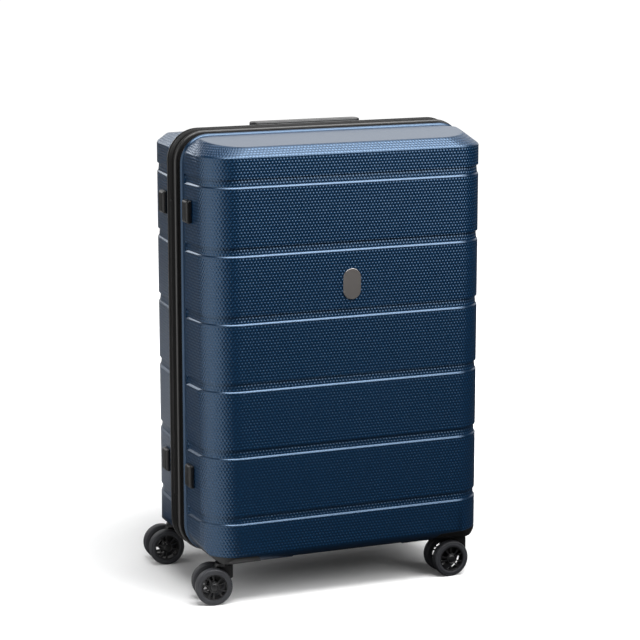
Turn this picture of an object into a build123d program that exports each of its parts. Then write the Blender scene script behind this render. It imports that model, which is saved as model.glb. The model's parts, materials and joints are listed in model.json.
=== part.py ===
from build123d import *
import os
from dataclasses import dataclass, replace
from math import cos, radians, sqrt, tan

# A large hard-shell suitcase on four twin-wheel casters, in millimetres.
# +Z is up, +X runs along the front face and the front half is towards -Y.
# The origin is on the floor, under the middle of the case.

# Clearances
running_gap = 0.05  # radial, for a shaft that turns or slides in a hole
slide_gap = 0.3  # between flat faces that slide past each other
seat_gap = 0.2  # between a fixed piece and what it sits in

# Casters
wheel_diameter = 60.0
wheel_width = 15.0
wheel_spacing = 35.0  # between the middles of the two wheels of a caster
tyre_depth = 9.0
tyre_edge = 3.0
rim_band = 1.0
rim_plate = 3.5
rim_plate_inset = 1.6
hub_radius = 8.8
hub_groove_radius = 7.3
hub_groove_width = 1.2
hub_groove_depth = 0.8
spoke_pairs = 5
wide_window_deg = 34.0
narrow_window_deg = 18.0
axle_diameter = 6.0
axle_end_cover = 3.0
fork_rise = 35.0  # from the axle up to the underside of the case
fork_trail = 20.0
fork_plate = 16.0
fork_flange_radius = 15.0
fork_flange_height = 4.0
fork_boss_radius = 11.0
fork_neck_half = 13.0
pin_diameter = 8.0
pin_in_fork = 17.0
pin_in_housing = 11.0
caster_inset_side = 38.8  # swivel axis from the side of the case
caster_inset_end = 35.5  # swivel axis from the front or back plane
caster_turn_deg = {"front_left": -10.0, "front_right": 0.0, "back_left": -3.5, "back_right": 0.0}
housing_reach = 86.0
housing_slant = 8.0
housing_arm_radius = 9.0
housing_rise_inner = 13.0
housing_rise_side = 16.0
housing_from_rim = 20.0
housing_wall = 3.0
housing_boss_radius = 12.0
screw_diameter = 4.0
screw_head_diameter = 9.0
screw_head_height = 2.2
screw_depth = 9.0
screw_boss_wall = 3.0
screw_offset = 29.0

# Case
case_width = 492.0  # across the rims of the shells
case_height = 679.0  # from the underside of the shells to the top of the rims
front_depth = 109.0
back_depth = 151.0
shell_wall = 2.0
side_draft_deg = 4.0
top_draft_deg = 6.2
front_edge_radius = 55.0
back_edge_radius = 80.0
bottom_corner_radius = 48.0
bottom_edge_radius = 22.0
chamfer_drop = 24.0
chamfer_side_in = 24.0
chamfer_end_in = 29.0
chamfer_edge_radius = 72.0
belly_width = 196.0  # raised middle of the underside
belly_rise = 5.0
groove_count = 6
groove_pitch = 107.9
groove_first = 67.2
groove_height = 15.0
groove_depth = 3.2
groove_ledge = 3.8
groove_from_rim = 9.0
lip_width = 3.0
lip_proud = 1.0
badge_width = 30.0
badge_height = 50.0
badge_proud = 2.0
badge_drop = 234.0

# Ribbons, zip and fabric hinge
ribbon_width = 24.0
ribbon_proud = 6.0
ribbon_depth = 11.0
ribbon_ridge = 9.5  # raised edge of the front ribbon, beside the zip
ribbon_sunk = 1.5  # the rest of the front ribbon lies below the rim
ribbon_top_radius = 50.0
zip_gap = 4.0
teeth_recess = 3.5
teeth_depth = 3.5
teeth_meeting_gap = 0.3
hinge_bead_radius = 2.2
tape_thickness = 1.2
tape_on_ribbon = 10.0
hinge_low = 90.0
hinge_high = 103.0
hinge_zip_gap = 3.0

# Side feet
foot_depth = 25.0
foot_height = 37.0
foot_proud = 8.0
foot_edge = 3.0
foot_front_offset = 15.0
foot_back_offset = 24.0
foot_low = 135.0
foot_high = 115.0

# Lining and packing straps
lining_gap = 0.8
lining_thickness = 1.0
lining_edge_radius = 32.0
strap_width = 38.0
strap_thickness = 1.6
strap_end_gap = 6.0
buckle_length = 62.0
buckle_width = 46.0
buckle_thickness = 9.0
buckle_edge = 3.0

# Trolley
tube_spacing = 190.0
tube_width = 28.0
tube_depth = 16.0
tube_wall = 1.3
tube_corner = 3.0
tube_step = 15.0  # each inner stage ends this much higher
trolley_inset = 26.0  # tube axis from the back plane
grip_length = 222.0
grip_width = 28.0
grip_height = 24.0
grip_edge = 6.0
grip_sunk = 2.5
grip_float = 2.0
tray_clearance = 2.5
tray_wall = 2.5
tray_proud = 1.0
bracket_height = 14.0
bracket_wall = 4.0
bracket_floor = 3.0
button_length = 40.0
button_width = 10.0
button_proud = 1.2
button_travel = 4.0
button_gap = 0.4
rod_diameter = 5.0
rod_bar_height = 4.0
rod_bar_width = 7.0
channel_floor = 7.0
channel_height = 13.0
channel_width = 10.0
spring_radius = 2.6
spring_wire = 0.8
spring_turns = 4
tube_in_grip = 4.0

# Carry handles, one on top and one on the right side
handle_length = 190.0
handle_width = 26.0
handle_thickness = 8.0
handle_edge = 2.5
handle_leg_spacing = 150.0
handle_leg_length = 18.0
handle_leg_width = 10.0
handle_leg_gap = 0.5
handle_foot_margin = 2.0
handle_foot_thickness = 3.0
handle_leg_down = 21.0
socket_wall = 2.5
socket_lid = 2.5
socket_flange = 2.0
socket_bury = 6.0
top_handle_proud = 11.6
top_handle_from_rim = 37.0
side_handle_proud = 17.5
side_handle_from_rim = 72.0
side_handle_rise = 340.0

# Combination lock, zip sliders and pulls
lock_length = 66.0
lock_width = 24.0
lock_proud = 11.0
lock_edge = 2.0
lock_from_lip = 1.0
lock_rise = 340.0
dial_radius = 5.5
dial_width = 6.0
dial_pitch = 9.0
dial_count = 3
dial_gap = 0.4
dial_proud = 1.2
dial_pin_radius = 1.5
release_length = 12.0
release_width = 11.0
release_proud = 1.2
release_depth = 5.0
release_travel = 2.0
release_from_middle = 22.0
slider_length = 14.0
slider_width = 12.0
slider_thickness = 2.5
slider_keel_gap = 0.5
slider_apart = 50.0
ear_thickness = 1.7
ear_height = 5.0
pull_length = 34.0
pull_width = 5.0
pull_thickness = 1.8
pull_eye_radius = 2.1
pull_pin_radius = 1.0
pull_gap = 0.3

# Heights and depths that follow from the sizes above
wheel_radius = wheel_diameter / 2
shell_bottom = wheel_radius + fork_rise
rim_top = shell_bottom + case_height
half_width = case_width / 2
half_depth = (badge_proud + front_depth + 2 * ribbon_width + zip_gap + back_depth) / 2
parting_y = badge_proud + front_depth + ribbon_width + zip_gap / 2 - half_depth
hinge_x = -(half_width + ribbon_proud + slide_gap + hinge_bead_radius)
side_slope = tan(radians(side_draft_deg))
top_slope = tan(radians(top_draft_deg))
lining_inset = shell_wall + groove_depth + lining_gap
reach_past = 20.0  # how far a cutting solid runs past what it cuts


@dataclass
class Half:
    """One half of the case: away is the direction from the zip to the closed face."""

    away: int
    rim: float
    depth: float
    edge_radius: float

    def y(self, distance):
        return self.rim + self.away * distance


front_half = Half(-1, parting_y - zip_gap / 2 - ribbon_width, front_depth, front_edge_radius)
back_half = Half(1, parting_y + zip_gap / 2 + ribbon_width, back_depth, back_edge_radius)


def box(x, y, z):
    """A block between pairs of coordinates, in any order."""
    middle = ((x[0] + x[1]) / 2, (y[0] + y[1]) / 2, (z[0] + z[1]) / 2)
    return Pos(*middle) * Box(abs(x[1] - x[0]), abs(y[1] - y[0]), abs(z[1] - z[0]))


def upright(x, y, z_low, z_high, radius):
    """A round bar standing on Z."""
    return Pos(x, y, (z_low + z_high) / 2) * Cylinder(radius, z_high - z_low)


def cross_bar(x, z, y_low, y_high, radius):
    """A round bar lying along Y."""
    return Pos(x, (y_low + y_high) / 2, z) * Rot(90, 0, 0) * Cylinder(radius, y_high - y_low)


def polygon(points):
    return make_face(Polyline(*points, close=True))


def rounded(face, at, radius):
    """The face with the vertices nearest to some points rounded."""
    chosen = [min(face.vertices(), key=lambda v: (v.center() - Vector(*p)).length) for p in at]
    return fillet(chosen, radius)


def plan(half, z, inset=0.0, side_in=0.0, end_in=0.0, radius=None, over=0.0):
    """Outline of a half seen from above: drafted sides and two rounded upright edges."""
    wall_x = half_width - inset / cos(radians(side_draft_deg)) - side_in
    end = half.depth - inset - end_in
    far_x = wall_x - end * side_slope
    near_x = wall_x + over * side_slope
    corners = [(-far_x, half.y(end), z), (far_x, half.y(end), z)]
    outline = polygon([(-near_x, half.y(-over), z), *corners, (near_x, half.y(-over), z)])
    return rounded(outline, corners, (radius or half.edge_radius) - inset)


def plan_prism(half, z_low, z_high, inset, over):
    return extrude(plan(half, z_low, inset, over=over), amount=z_high - z_low, dir=(0, 0, 1))


def front_view_mask(half, inset):
    """Keeps the bottom corners round, seen from the front."""
    low = shell_bottom + inset
    radius = bottom_corner_radius - inset
    x = half_width - inset
    out = half_width + reach_past
    top = rim_top + reach_past
    turn = radius * (1 - sqrt(0.5))
    outline = make_face(
        [
            *Polyline((-x, 0, low + radius), (-out, 0, low + radius), (-out, 0, top), (out, 0, top)).edges(),
            *Polyline((out, 0, top), (out, 0, low + radius), (x, 0, low + radius)).edges(),
            ThreePointArc((x, 0, low + radius), (x - turn, 0, low + turn), (x - radius, 0, low)),
            Line((x - radius, 0, low), (radius - x, 0, low)),
            ThreePointArc((radius - x, 0, low), (turn - x, 0, low + turn), (-x, 0, low + radius)),
        ]
    )
    span = half.depth + 2 * reach_past
    return extrude(Pos(0, half.y(-reach_past), 0) * outline, amount=span, dir=(0, half.away, 0))


def side_view_mask(half, inset):
    """Slopes the top down to the closed face and rounds the bottom edge, seen from the side."""
    low = shell_bottom + inset
    radius = bottom_edge_radius - inset
    end = half.depth - inset
    top = rim_top - inset / cos(radians(top_draft_deg))
    out = half.depth + reach_past
    turn = radius * (1 - sqrt(0.5))
    x = -half_width - reach_past
    points = {
        "top_rim": (x, half.y(-reach_past), top + reach_past * top_slope),
        "top_out": (x, half.y(out), top - out * top_slope),
        "out": (x, half.y(out), low + radius),
        "end": (x, half.y(end), low + radius),
        "turn": (x, half.y(end - turn), low + turn),
        "floor": (x, half.y(end - radius), low),
        "floor_rim": (x, half.y(-reach_past), low),
    }
    outline = make_face(
        [
            *Polyline(points["floor_rim"], points["top_rim"], points["top_out"], points["out"]).edges(),
            Line(points["out"], points["end"]),
            ThreePointArc(points["end"], points["turn"], points["floor"]),
            Line(points["floor"], points["floor_rim"]),
        ]
    )
    return extrude(outline, amount=2 * (half_width + reach_past), dir=(1, 0, 0))


def smooth_body(half, inset=0.0, over=0.0):
    """A half without grooves, set in by a wall: prism, chamfered top, sloped lid and round bottom."""
    crease = rim_top - chamfer_drop - inset * tan(radians(22.5))
    peak = rim_top + max(0.0, -inset)
    share = (peak - crease) / chamfer_drop
    lower = plan_prism(half, shell_bottom + inset, crease, inset, over)
    base = plan(half, crease, inset, over=over)
    lid = plan(half, peak, inset, share * chamfer_side_in, share * chamfer_end_in, chamfer_edge_radius, over)
    body = lower + loft([base.face(), lid.face()], ruled=True)
    return body & front_view_mask(half, inset) & side_view_mask(half, inset)


def groove_bands(half, inset):
    """What the grooves take from the sides and the closed face, each with a sloped lower ledge."""
    bands = []
    for index in range(groove_count):
        low = shell_bottom + groove_first + index * groove_pitch - inset
        floor_low = low + groove_ledge
        high = low + groove_height + 2 * inset
        outer = plan(half, low, inset)
        floor = plan(half, floor_low, inset + groove_depth)
        ledge = loft([outer.face(), floor.face()], ruled=True)
        core = ledge + plan_prism(half, floor_low, high, inset + groove_depth, 0)
        start = half.y(groove_from_rim - inset)
        end = half.y(half.depth + reach_past)
        slab = box((-half_width - reach_past, half_width + reach_past), (start, end), (low, high))
        bands.append(slab - core)
    return bands


def housing_outline(side, grow):
    """Front view of the corner that a caster housing fills; side is -1 on the left."""
    inner = half_width - housing_reach
    out = half_width + reach_past
    low = shell_bottom - reach_past
    rise_out = housing_rise_side + (housing_rise_side - housing_rise_inner) * reach_past / housing_reach
    outline = polygon(
        [
            (side * (inner - housing_slant), 0, low),
            (side * (inner - housing_slant), 0, shell_bottom),
            (side * inner, 0, shell_bottom + housing_rise_inner),
            (side * out, 0, shell_bottom + rise_out),
            (side * out, 0, low),
        ]
    )
    outline = rounded(outline, [(side * inner, 0, shell_bottom + housing_rise_inner)], housing_arm_radius)
    if grow:
        outline = offset(outline, grow, kind=Kind.INTERSECTION)
    return outline


def housing_space(half, side, grow=0.0):
    """The corner of a half that a caster housing fills, grown by a wall."""
    start = half.y(housing_from_rim - grow)
    length = half.depth + reach_past - housing_from_rim + grow
    return extrude(Pos(0, start, 0) * housing_outline(side, grow), amount=length, dir=(0, half.away, 0))


def housing_ceiling(x):
    """Height of the top of a housing at a distance from the middle of the case."""
    share = (abs(x) - half_width + housing_reach) / housing_reach
    return shell_bottom + housing_rise_inner + share * (housing_rise_side - housing_rise_inner)


def belly(half, grow=0.0):
    """The raised middle of the underside, with sloped ends."""
    top = shell_bottom + belly_rise + grow
    low = shell_bottom - reach_past
    wide = belly_width / 2 + grow
    outline = polygon([(-wide - belly_rise, 0, low), (-wide, 0, top), (wide, 0, top), (wide + belly_rise, 0, low)])
    start = half.y(-reach_past)
    return extrude(Pos(0, start, 0) * outline, amount=half.depth + 2 * reach_past, dir=(0, half.away, 0))


def rim_lip(half):
    """A low bead round the rim."""
    reach = half_width + reach_past
    band = box((-reach, reach), (half.y(0), half.y(lip_width)), (shell_bottom - reach_past, rim_top + reach_past))
    return smooth_body(half, -lip_proud) & band


def half_body(half, inset=0.0, over=0.0, grooved=True):
    """A half of the case set in by a wall, with its grooves, caster corners and raised belly."""
    body = smooth_body(half, inset, over)
    if inset == 0:
        body += rim_lip(half)
    cuts = [housing_space(half, side, inset) for side in (-1, 1)]
    cuts.append(belly(half, inset))
    if grooved:
        cuts.extend(groove_bands(half, inset))
    return body - cuts


# Carry handles are made lying at the origin: X along the grip, Z out of the case.
def handle_grip(proud):
    """Grip bar with a leg near each end; a wider foot keeps each leg in its socket."""
    under = proud - handle_thickness
    bar = box((-handle_length / 2, handle_length / 2), (-handle_width / 2, handle_width / 2), (under, proud))
    bar = fillet(bar.edges().filter_by(Axis.Z), handle_width / 3)
    bar = fillet(bar.faces().sort_by(Axis.Z)[-1].edges(), handle_edge)
    for side in (-1, 1):
        middle = side * handle_leg_spacing / 2
        leg_x = (middle - handle_leg_length / 2, middle + handle_leg_length / 2)
        leg_y = (-handle_leg_width / 2, handle_leg_width / 2)
        foot_x = (leg_x[0] - handle_foot_margin, leg_x[1] + handle_foot_margin)
        foot_y = (leg_y[0] - handle_foot_margin, leg_y[1] + handle_foot_margin)
        bar += box(leg_x, leg_y, (-handle_leg_down, under))
        bar += box(foot_x, foot_y, (-handle_leg_down - handle_foot_thickness, -handle_leg_down))
    return bar


def socket_box(side, margin, low, high):
    """A block round a handle's leg, wider than its foot by a margin."""
    middle = side * handle_leg_spacing / 2
    x = handle_leg_length / 2 + handle_foot_margin + handle_leg_gap + margin
    y = handle_leg_width / 2 + handle_foot_margin + handle_leg_gap + margin
    return box((middle - x, middle + x), (-y, y), (low, high))


socket_floor = -handle_leg_down - handle_foot_thickness - slide_gap


def handle_socket_cup(side):
    """Cup that guides a leg: closed floor, and a lid with a slot just wider than the leg."""
    middle = side * handle_leg_spacing / 2
    slot_x = handle_leg_length / 2 + handle_leg_gap
    slot_y = handle_leg_width / 2 + handle_leg_gap
    cup = socket_box(side, socket_wall, socket_floor - socket_wall, socket_lid)
    cup -= socket_box(side, 0, socket_floor, 0)
    cup -= box((middle - slot_x, middle + slot_x), (-slot_y, slot_y), (-reach_past, reach_past))
    return cup


def handle_socket_flange(side):
    """Collar round the cup; the shell is cut from it later, so that it lies on the shell."""
    collar = socket_box(side, socket_wall + socket_flange, -socket_bury, socket_lid)
    return collar - socket_box(side, socket_wall, -reach_past, reach_past)


def handle_hole(side, grow):
    """Hole for a cup through the shell and the lining."""
    return socket_box(side, socket_wall + grow, socket_floor - socket_wall - grow, reach_past)


def handle_pieces(place, proud, skin):
    grip = place * handle_grip(proud)
    sockets = []
    for side in (-1, 1):
        flange = place * handle_socket_flange(side) - skin
        sockets.append(place * handle_socket_cup(side) + flange)
    return grip, Compound(sockets)


front_skin = half_body(front_half)
back_skin = half_body(back_half)
back_smooth = smooth_body(back_half)
nodes = {}

# Places of the two handles on the back half
top_handle_z = rim_top - top_handle_from_rim * top_slope
top_handle_place = Pos(0, back_half.y(top_handle_from_rim), top_handle_z)
side_handle_x = half_width - side_handle_from_rim * side_slope
side_handle_origin = (side_handle_x, back_half.y(side_handle_from_rim), shell_bottom + side_handle_rise)
side_handle_place = Plane(origin=side_handle_origin, x_dir=(0, 0, 1), z_dir=(1, 0, 0)).location
handle_places = (top_handle_place, side_handle_place)

# Trolley tray, sunk in the top of the back half over the tubes
trolley_y = back_half.y(back_depth - trolley_inset)
tray_half_x = grip_length / 2 + tray_clearance + tray_wall
tray_half_y = grip_width / 2 + tray_clearance + tray_wall
tray_front = trolley_y - tray_half_y
tray_top = rim_top - (tray_front - back_half.rim) * top_slope + tray_proud
grip_top = tray_top - grip_sunk
grip_bottom = grip_top - grip_height
tray_floor = grip_bottom - grip_float
tray_bottom = tray_floor - tray_wall
tray_y = (trolley_y - tray_half_y, trolley_y + tray_half_y)


def tray_block(grow, top):
    x = tray_half_x + grow
    return box((-x, x), (tray_y[0] - grow, tray_y[1] + grow), (tray_bottom - grow, top))


# Shells: skin, less the same form set in by the wall, with holes for what passes through
screw_places = []
for half in (front_half, back_half):
    for side in (-1, 1):
        x = side * (half_width - caster_inset_side)
        y = half.y(half.depth - caster_inset_end)
        screw_places.append((half, x - side * screw_offset, y))
        screw_places.append((half, x, y - half.away * screw_offset))


def screw_shank(x, y, gap):
    ceiling = housing_ceiling(x)
    return upright(x, y, ceiling - screw_depth - gap, ceiling + reach_past, screw_diameter / 2 + gap)


def screw_holes(half, gap):
    return [screw_shank(x, y, gap) for owner, x, y in screw_places if owner is half]


nodes["front_shell"] = front_skin - half_body(front_half, shell_wall, reach_past) - screw_holes(front_half, seat_gap)
back_shell = back_skin - half_body(back_half, shell_wall, reach_past) - screw_holes(back_half, seat_gap)
back_shell -= [place * handle_hole(side, seat_gap) for place in handle_places for side in (-1, 1)]
back_shell -= tray_block(seat_gap, rim_top + reach_past)
nodes["back_shell"] = back_shell

# Lining: a thin tray in each half, clear of the grooves; the back one lies in front of the trolley
back_lining_depth = tray_front - seat_gap - back_half.rim
back_lining_edge = lining_edge_radius + lining_inset
back_lining_half = replace(back_half, depth=back_lining_depth + lining_inset, edge_radius=back_lining_edge)
front_lining = half_body(front_half, lining_inset, 0, False)
front_lining -= half_body(front_half, lining_inset + lining_thickness, reach_past, False)
back_lining = half_body(back_lining_half, lining_inset, 0, False)
back_lining -= half_body(back_lining_half, lining_inset + lining_thickness, reach_past, False)
back_lining -= housing_space(back_half, -1, lining_inset)
back_lining -= housing_space(back_half, 1, lining_inset)
back_lining -= [place * handle_hole(side, lining_gap) for place in handle_places for side in (-1, 1)]
panel_front = back_half.y(back_lining_depth - lining_thickness)
panel_zone = box(
    (-half_width, half_width),
    (panel_front, panel_front + back_half.away * reach_past),
    (shell_bottom, rim_top),
)
nodes["front_lining"] = front_lining
nodes["back_lining"] = back_lining - panel_zone
nodes["back_panel"] = back_lining & panel_zone

# Two webbing straps that lie on the back lining and meet in a buckle
strap_back = panel_front - seat_gap
strap_y = (strap_back - strap_thickness, strap_back)
strap_z = shell_bottom + lock_rise
strap_span = (strap_z - strap_width / 2, strap_z + strap_width / 2)
strap_inner = buckle_length / 2 + seat_gap
strap_reach = half_width - lining_inset - back_lining_depth * side_slope - lining_edge_radius - strap_end_gap
straps = [box((side * strap_inner, side * strap_reach), strap_y, strap_span) for side in (-1, 1)]
nodes["packing_straps"] = Compound(straps)
buckle_z = (strap_z - buckle_width / 2, strap_z + buckle_width / 2)
buckle = box((-buckle_length / 2, buckle_length / 2), (strap_back - buckle_thickness, strap_back), buckle_z)
nodes["strap_buckle"] = fillet(buckle.edges().filter_by(Axis.Y), buckle_edge)


def ring_outline(proud):
    """Front view of a ribbon's line, a distance outside the rims."""
    x = half_width + proud
    low = shell_bottom - proud
    high = rim_top + proud
    top = [(-x, 0, high), (x, 0, high)]
    bottom = [(-x, 0, low), (x, 0, low)]
    outline = polygon([bottom[0], bottom[1], top[1], top[0]])
    outline = rounded(outline, top, ribbon_top_radius - ribbon_proud + proud)
    return rounded(outline, bottom, bottom_corner_radius + proud)


def ring(y_low, y_high, proud, depth):
    outer = extrude(Pos(0, y_low, 0) * ring_outline(proud), amount=y_high - y_low, dir=(0, 1, 0))
    inner = extrude(
        Pos(0, y_low - reach_past, 0) * ring_outline(proud - depth),
        amount=y_high - y_low + 2 * reach_past,
        dir=(0, 1, 0),
    )
    return outer - inner


# Fabric ribbons between the shells and the zip, and the two rows of teeth in the gap between them
hinge_span = (shell_bottom + hinge_low, rim_top - hinge_high)
hinge_side = box(
    (hinge_x - reach_past, -half_width / 2),
    (parting_y - reach_past, parting_y + reach_past),
    (hinge_span[0] - hinge_zip_gap, hinge_span[1] + hinge_zip_gap),
)
for name, half in (("front", front_half), ("back", back_half)):
    zip_face = parting_y + half.away * zip_gap / 2
    ridge_end = half.rim
    if half is front_half:
        ridge_end = zip_face + half.away * ribbon_ridge
    ribbon = ring(*sorted((ridge_end, zip_face)), ribbon_proud, ribbon_depth)
    if half is front_half:
        ribbon += ring(*sorted((half.rim, ridge_end)), -ribbon_sunk, ribbon_depth - ribbon_proud - ribbon_sunk)
    nodes[name + "_zip_ribbon"] = ribbon
    meeting = parting_y + half.away * teeth_meeting_gap / 2
    teeth = ring(*sorted((meeting, zip_face)), ribbon_proud - teeth_recess, teeth_depth)
    nodes[name + "_zip_teeth"] = teeth - hinge_side

# Fabric hinge: a fold line along the gap, sewn to the back ribbon by a flat edge
tape_x = -(half_width + ribbon_proud + seat_gap)
tape_y = (parting_y, parting_y + zip_gap / 2 + tape_on_ribbon)
tape = box((tape_x - tape_thickness, tape_x), tape_y, hinge_span)
nodes["hinge_tape"] = tape + upright(hinge_x, parting_y, *hinge_span, hinge_bead_radius)

# Badge, a plain slot-shaped plate on the front face
front_y = front_half.y(front_depth)
badge_plane = Plane(origin=(0, front_y, rim_top - badge_drop), x_dir=(0, 0, 1), z_dir=(0, -1, 0))
nodes["badge_plate"] = extrude(badge_plane * SlotOverall(badge_height, badge_width), amount=badge_proud)

# Side feet on the left of both halves, cut to lie on the drafted side
for name, half, offset_from_rim in (
    ("front_side_feet", front_half, foot_front_offset),
    ("back_side_feet", back_half, foot_back_offset),
):
    feet = []
    for middle in (shell_bottom + foot_low, rim_top - foot_high):
        wall_x = half_width - offset_from_rim * side_slope
        foot = box(
            (-wall_x - foot_proud, -wall_x + reach_past),
            (half.y(offset_from_rim), half.y(offset_from_rim + foot_depth)),
            (middle - foot_height / 2, middle + foot_height / 2),
        )
        foot = chamfer(foot.faces().sort_by(Axis.X)[0].edges(), foot_edge)
        feet.append(foot - smooth_body(half))
    nodes[name] = Compound(feet)


# Casters
def wheel_rim():
    """One rim on the origin, axle along Y, outer face towards -Y: band, spoked plate and hub."""
    rim_radius = wheel_radius - tyre_depth - seat_gap
    face = -wheel_width / 2
    plate_y = (face + rim_plate_inset, face + rim_plate_inset + rim_plate)
    rim = cross_bar(0, 0, face, -face, rim_radius)
    rim -= cross_bar(0, 0, face - reach_past, reach_past, rim_radius - rim_band)
    rim += cross_bar(0, 0, *plate_y, rim_radius - rim_band / 2)
    turn = 360.0 / spoke_pairs
    inner = hub_radius + rim_band / 2
    outer = rim_radius - 1.5 * rim_band
    windows = []
    for index in range(spoke_pairs):
        for width, middle in ((wide_window_deg, index * turn), (narrow_window_deg, (index + 0.5) * turn)):
            sector = cross_bar(0, 0, face, -face, outer) - cross_bar(0, 0, face, -face, inner)
            edge = outer / cos(radians(width / 2))
            wedge = polygon(
                [
                    (0, face, 0),
                    (edge, face, edge * tan(radians(width / 2))),
                    (edge, face, -edge * tan(radians(width / 2))),
                ]
            )
            wedge = extrude(wedge, amount=wheel_width, dir=(0, 1, 0))
            windows.append(Rot(0, middle, 0) * (sector & wedge))
    rim -= windows
    hub_face = face + rim_plate_inset / 2
    rim += cross_bar(0, 0, hub_face, -face, hub_radius)
    groove = cross_bar(0, 0, hub_face, hub_face + hub_groove_depth, hub_groove_radius)
    rim -= groove - cross_bar(0, 0, hub_face, hub_face + hub_groove_depth, hub_groove_radius - hub_groove_width)
    return rim - cross_bar(0, 0, face + axle_end_cover, reach_past, axle_diameter / 2 + running_gap)


def wheel_tyre():
    tyre = cross_bar(0, 0, -wheel_width / 2, wheel_width / 2, wheel_radius)
    tyre = fillet(tyre.edges().filter_by(GeomType.CIRCLE), tyre_edge)
    return tyre - cross_bar(0, 0, -wheel_width, wheel_width, wheel_radius - tyre_depth)


def fork():
    """Fork on the swivel axis: flange under the case, neck, slanted plate and boss for the axle."""
    top = shell_bottom - slide_gap
    flange_low = top - fork_flange_height
    boss_half = (wheel_spacing - wheel_width) / 2 - 1.0
    plate = polygon(
        [
            (-fork_neck_half, -fork_plate / 2, flange_low),
            (fork_neck_half, -fork_plate / 2, flange_low),
            (fork_neck_half, -fork_plate / 2, wheel_radius + fork_boss_radius),
            (fork_boss_radius - fork_trail, -fork_plate / 2, wheel_radius - fork_boss_radius / 2),
            (-fork_trail - fork_boss_radius * sqrt(0.5), -fork_plate / 2, wheel_radius + fork_boss_radius * sqrt(0.5)),
        ]
    )
    body = extrude(plate, amount=fork_plate, dir=(0, 1, 0))
    body += upright(0, 0, flange_low, top, fork_flange_radius)
    body += cross_bar(-fork_trail, wheel_radius, -boss_half, boss_half, fork_boss_radius)
    body -= cross_bar(-fork_trail, wheel_radius, -reach_past, reach_past, axle_diameter / 2 + running_gap)
    return body - upright(0, 0, shell_bottom - pin_in_fork - slide_gap, shell_bottom, pin_diameter / 2 + running_gap)


def housing(half, side, x, y):
    """Corner moulding: fills the corner of the shell, hollow from above, with a boss for the pin."""
    block = smooth_body(half) & housing_space(half, side, -seat_gap)
    hollow = smooth_body(half, housing_wall) & housing_space(half, side, -housing_wall - seat_gap)
    hollow = Pos(0, 0, housing_wall) * hollow + hollow
    bosses = [upright(x, y, shell_bottom, shell_bottom + 2 * reach_past, housing_boss_radius)]
    for owner, screw_x, screw_y in screw_places:
        if owner is half and screw_x * side > 0:
            radius = screw_diameter / 2 + screw_boss_wall
            bosses.append(upright(screw_x, screw_y, shell_bottom, shell_bottom + 2 * reach_past, radius))
    block -= hollow - bosses
    block -= upright(x, y, shell_bottom - reach_past, shell_bottom + pin_in_housing, pin_diameter / 2 + running_gap)
    return block - screw_holes(half, running_gap)


rim_piece = wheel_rim()
tyre_piece = wheel_tyre()
fork_piece = fork()
axle_half = wheel_spacing / 2 + wheel_width / 2 - axle_end_cover - slide_gap
axle_piece = cross_bar(0, 0, -axle_half, axle_half, axle_diameter / 2)
pins = {front_half.away: [], back_half.away: []}
for end, half in (("front", front_half), ("back", back_half)):
    for hand, side in (("left", -1), ("right", 1)):
        name = end + "_" + hand
        x = side * (half_width - caster_inset_side)
        y = half.y(half.depth - caster_inset_end)
        swivel = Pos(x, y, 0) * Rot(0, 0, caster_turn_deg[name])
        wheels = swivel * Pos(-fork_trail, 0, wheel_radius)
        outer_wheel = wheels * Pos(0, -wheel_spacing / 2, 0)
        inner_wheel = wheels * Pos(0, wheel_spacing / 2, 0) * Rot(0, 0, 180)
        nodes["caster_housing_" + name] = housing(half, side, x, y)
        nodes["caster_fork_" + name] = swivel * fork_piece
        nodes["wheel_axle_" + name] = wheels * axle_piece
        nodes["wheel_rims_" + name] = Compound([outer_wheel * rim_piece, inner_wheel * rim_piece])
        nodes["wheel_tyres_" + name] = Compound([outer_wheel * tyre_piece, inner_wheel * tyre_piece])
        pin_low = shell_bottom - pin_in_fork
        pin_high = shell_bottom + pin_in_housing
        pins[half.away].append(upright(x, y, pin_low, pin_high, pin_diameter / 2))

# Swivel pins, and screws from inside each shell into the housings
for name, half in (("front_caster_fixings", front_half), ("back_caster_fixings", back_half)):
    screws = []
    for owner, x, y in screw_places:
        if owner is half:
            slope = (housing_rise_side - housing_rise_inner) / housing_reach
            seat = housing_ceiling(x) + shell_wall + slope * screw_head_diameter / 2 + seat_gap
            shank = upright(x, y, housing_ceiling(x) - screw_depth, seat, screw_diameter / 2)
            screws.append(shank + upright(x, y, seat, seat + screw_head_height, screw_head_diameter / 2))
    nodes[name] = Compound(pins[half.away] + screws)


# Trolley: three nested pairs of tubes, tray, foot bracket, grip and its release
def tube(width, depth, corner, z_low, z_high):
    """A solid bar with rounded edges, on the tube axis."""
    bar = box((-width / 2, width / 2), (-depth / 2, depth / 2), (z_low, z_high))
    return fillet(bar.edges().filter_by(Axis.Z), corner)


def tube_pair(shape):
    return [Pos(side * tube_spacing / 2, trolley_y, 0) * shape for side in (-1, 1)]


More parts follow.
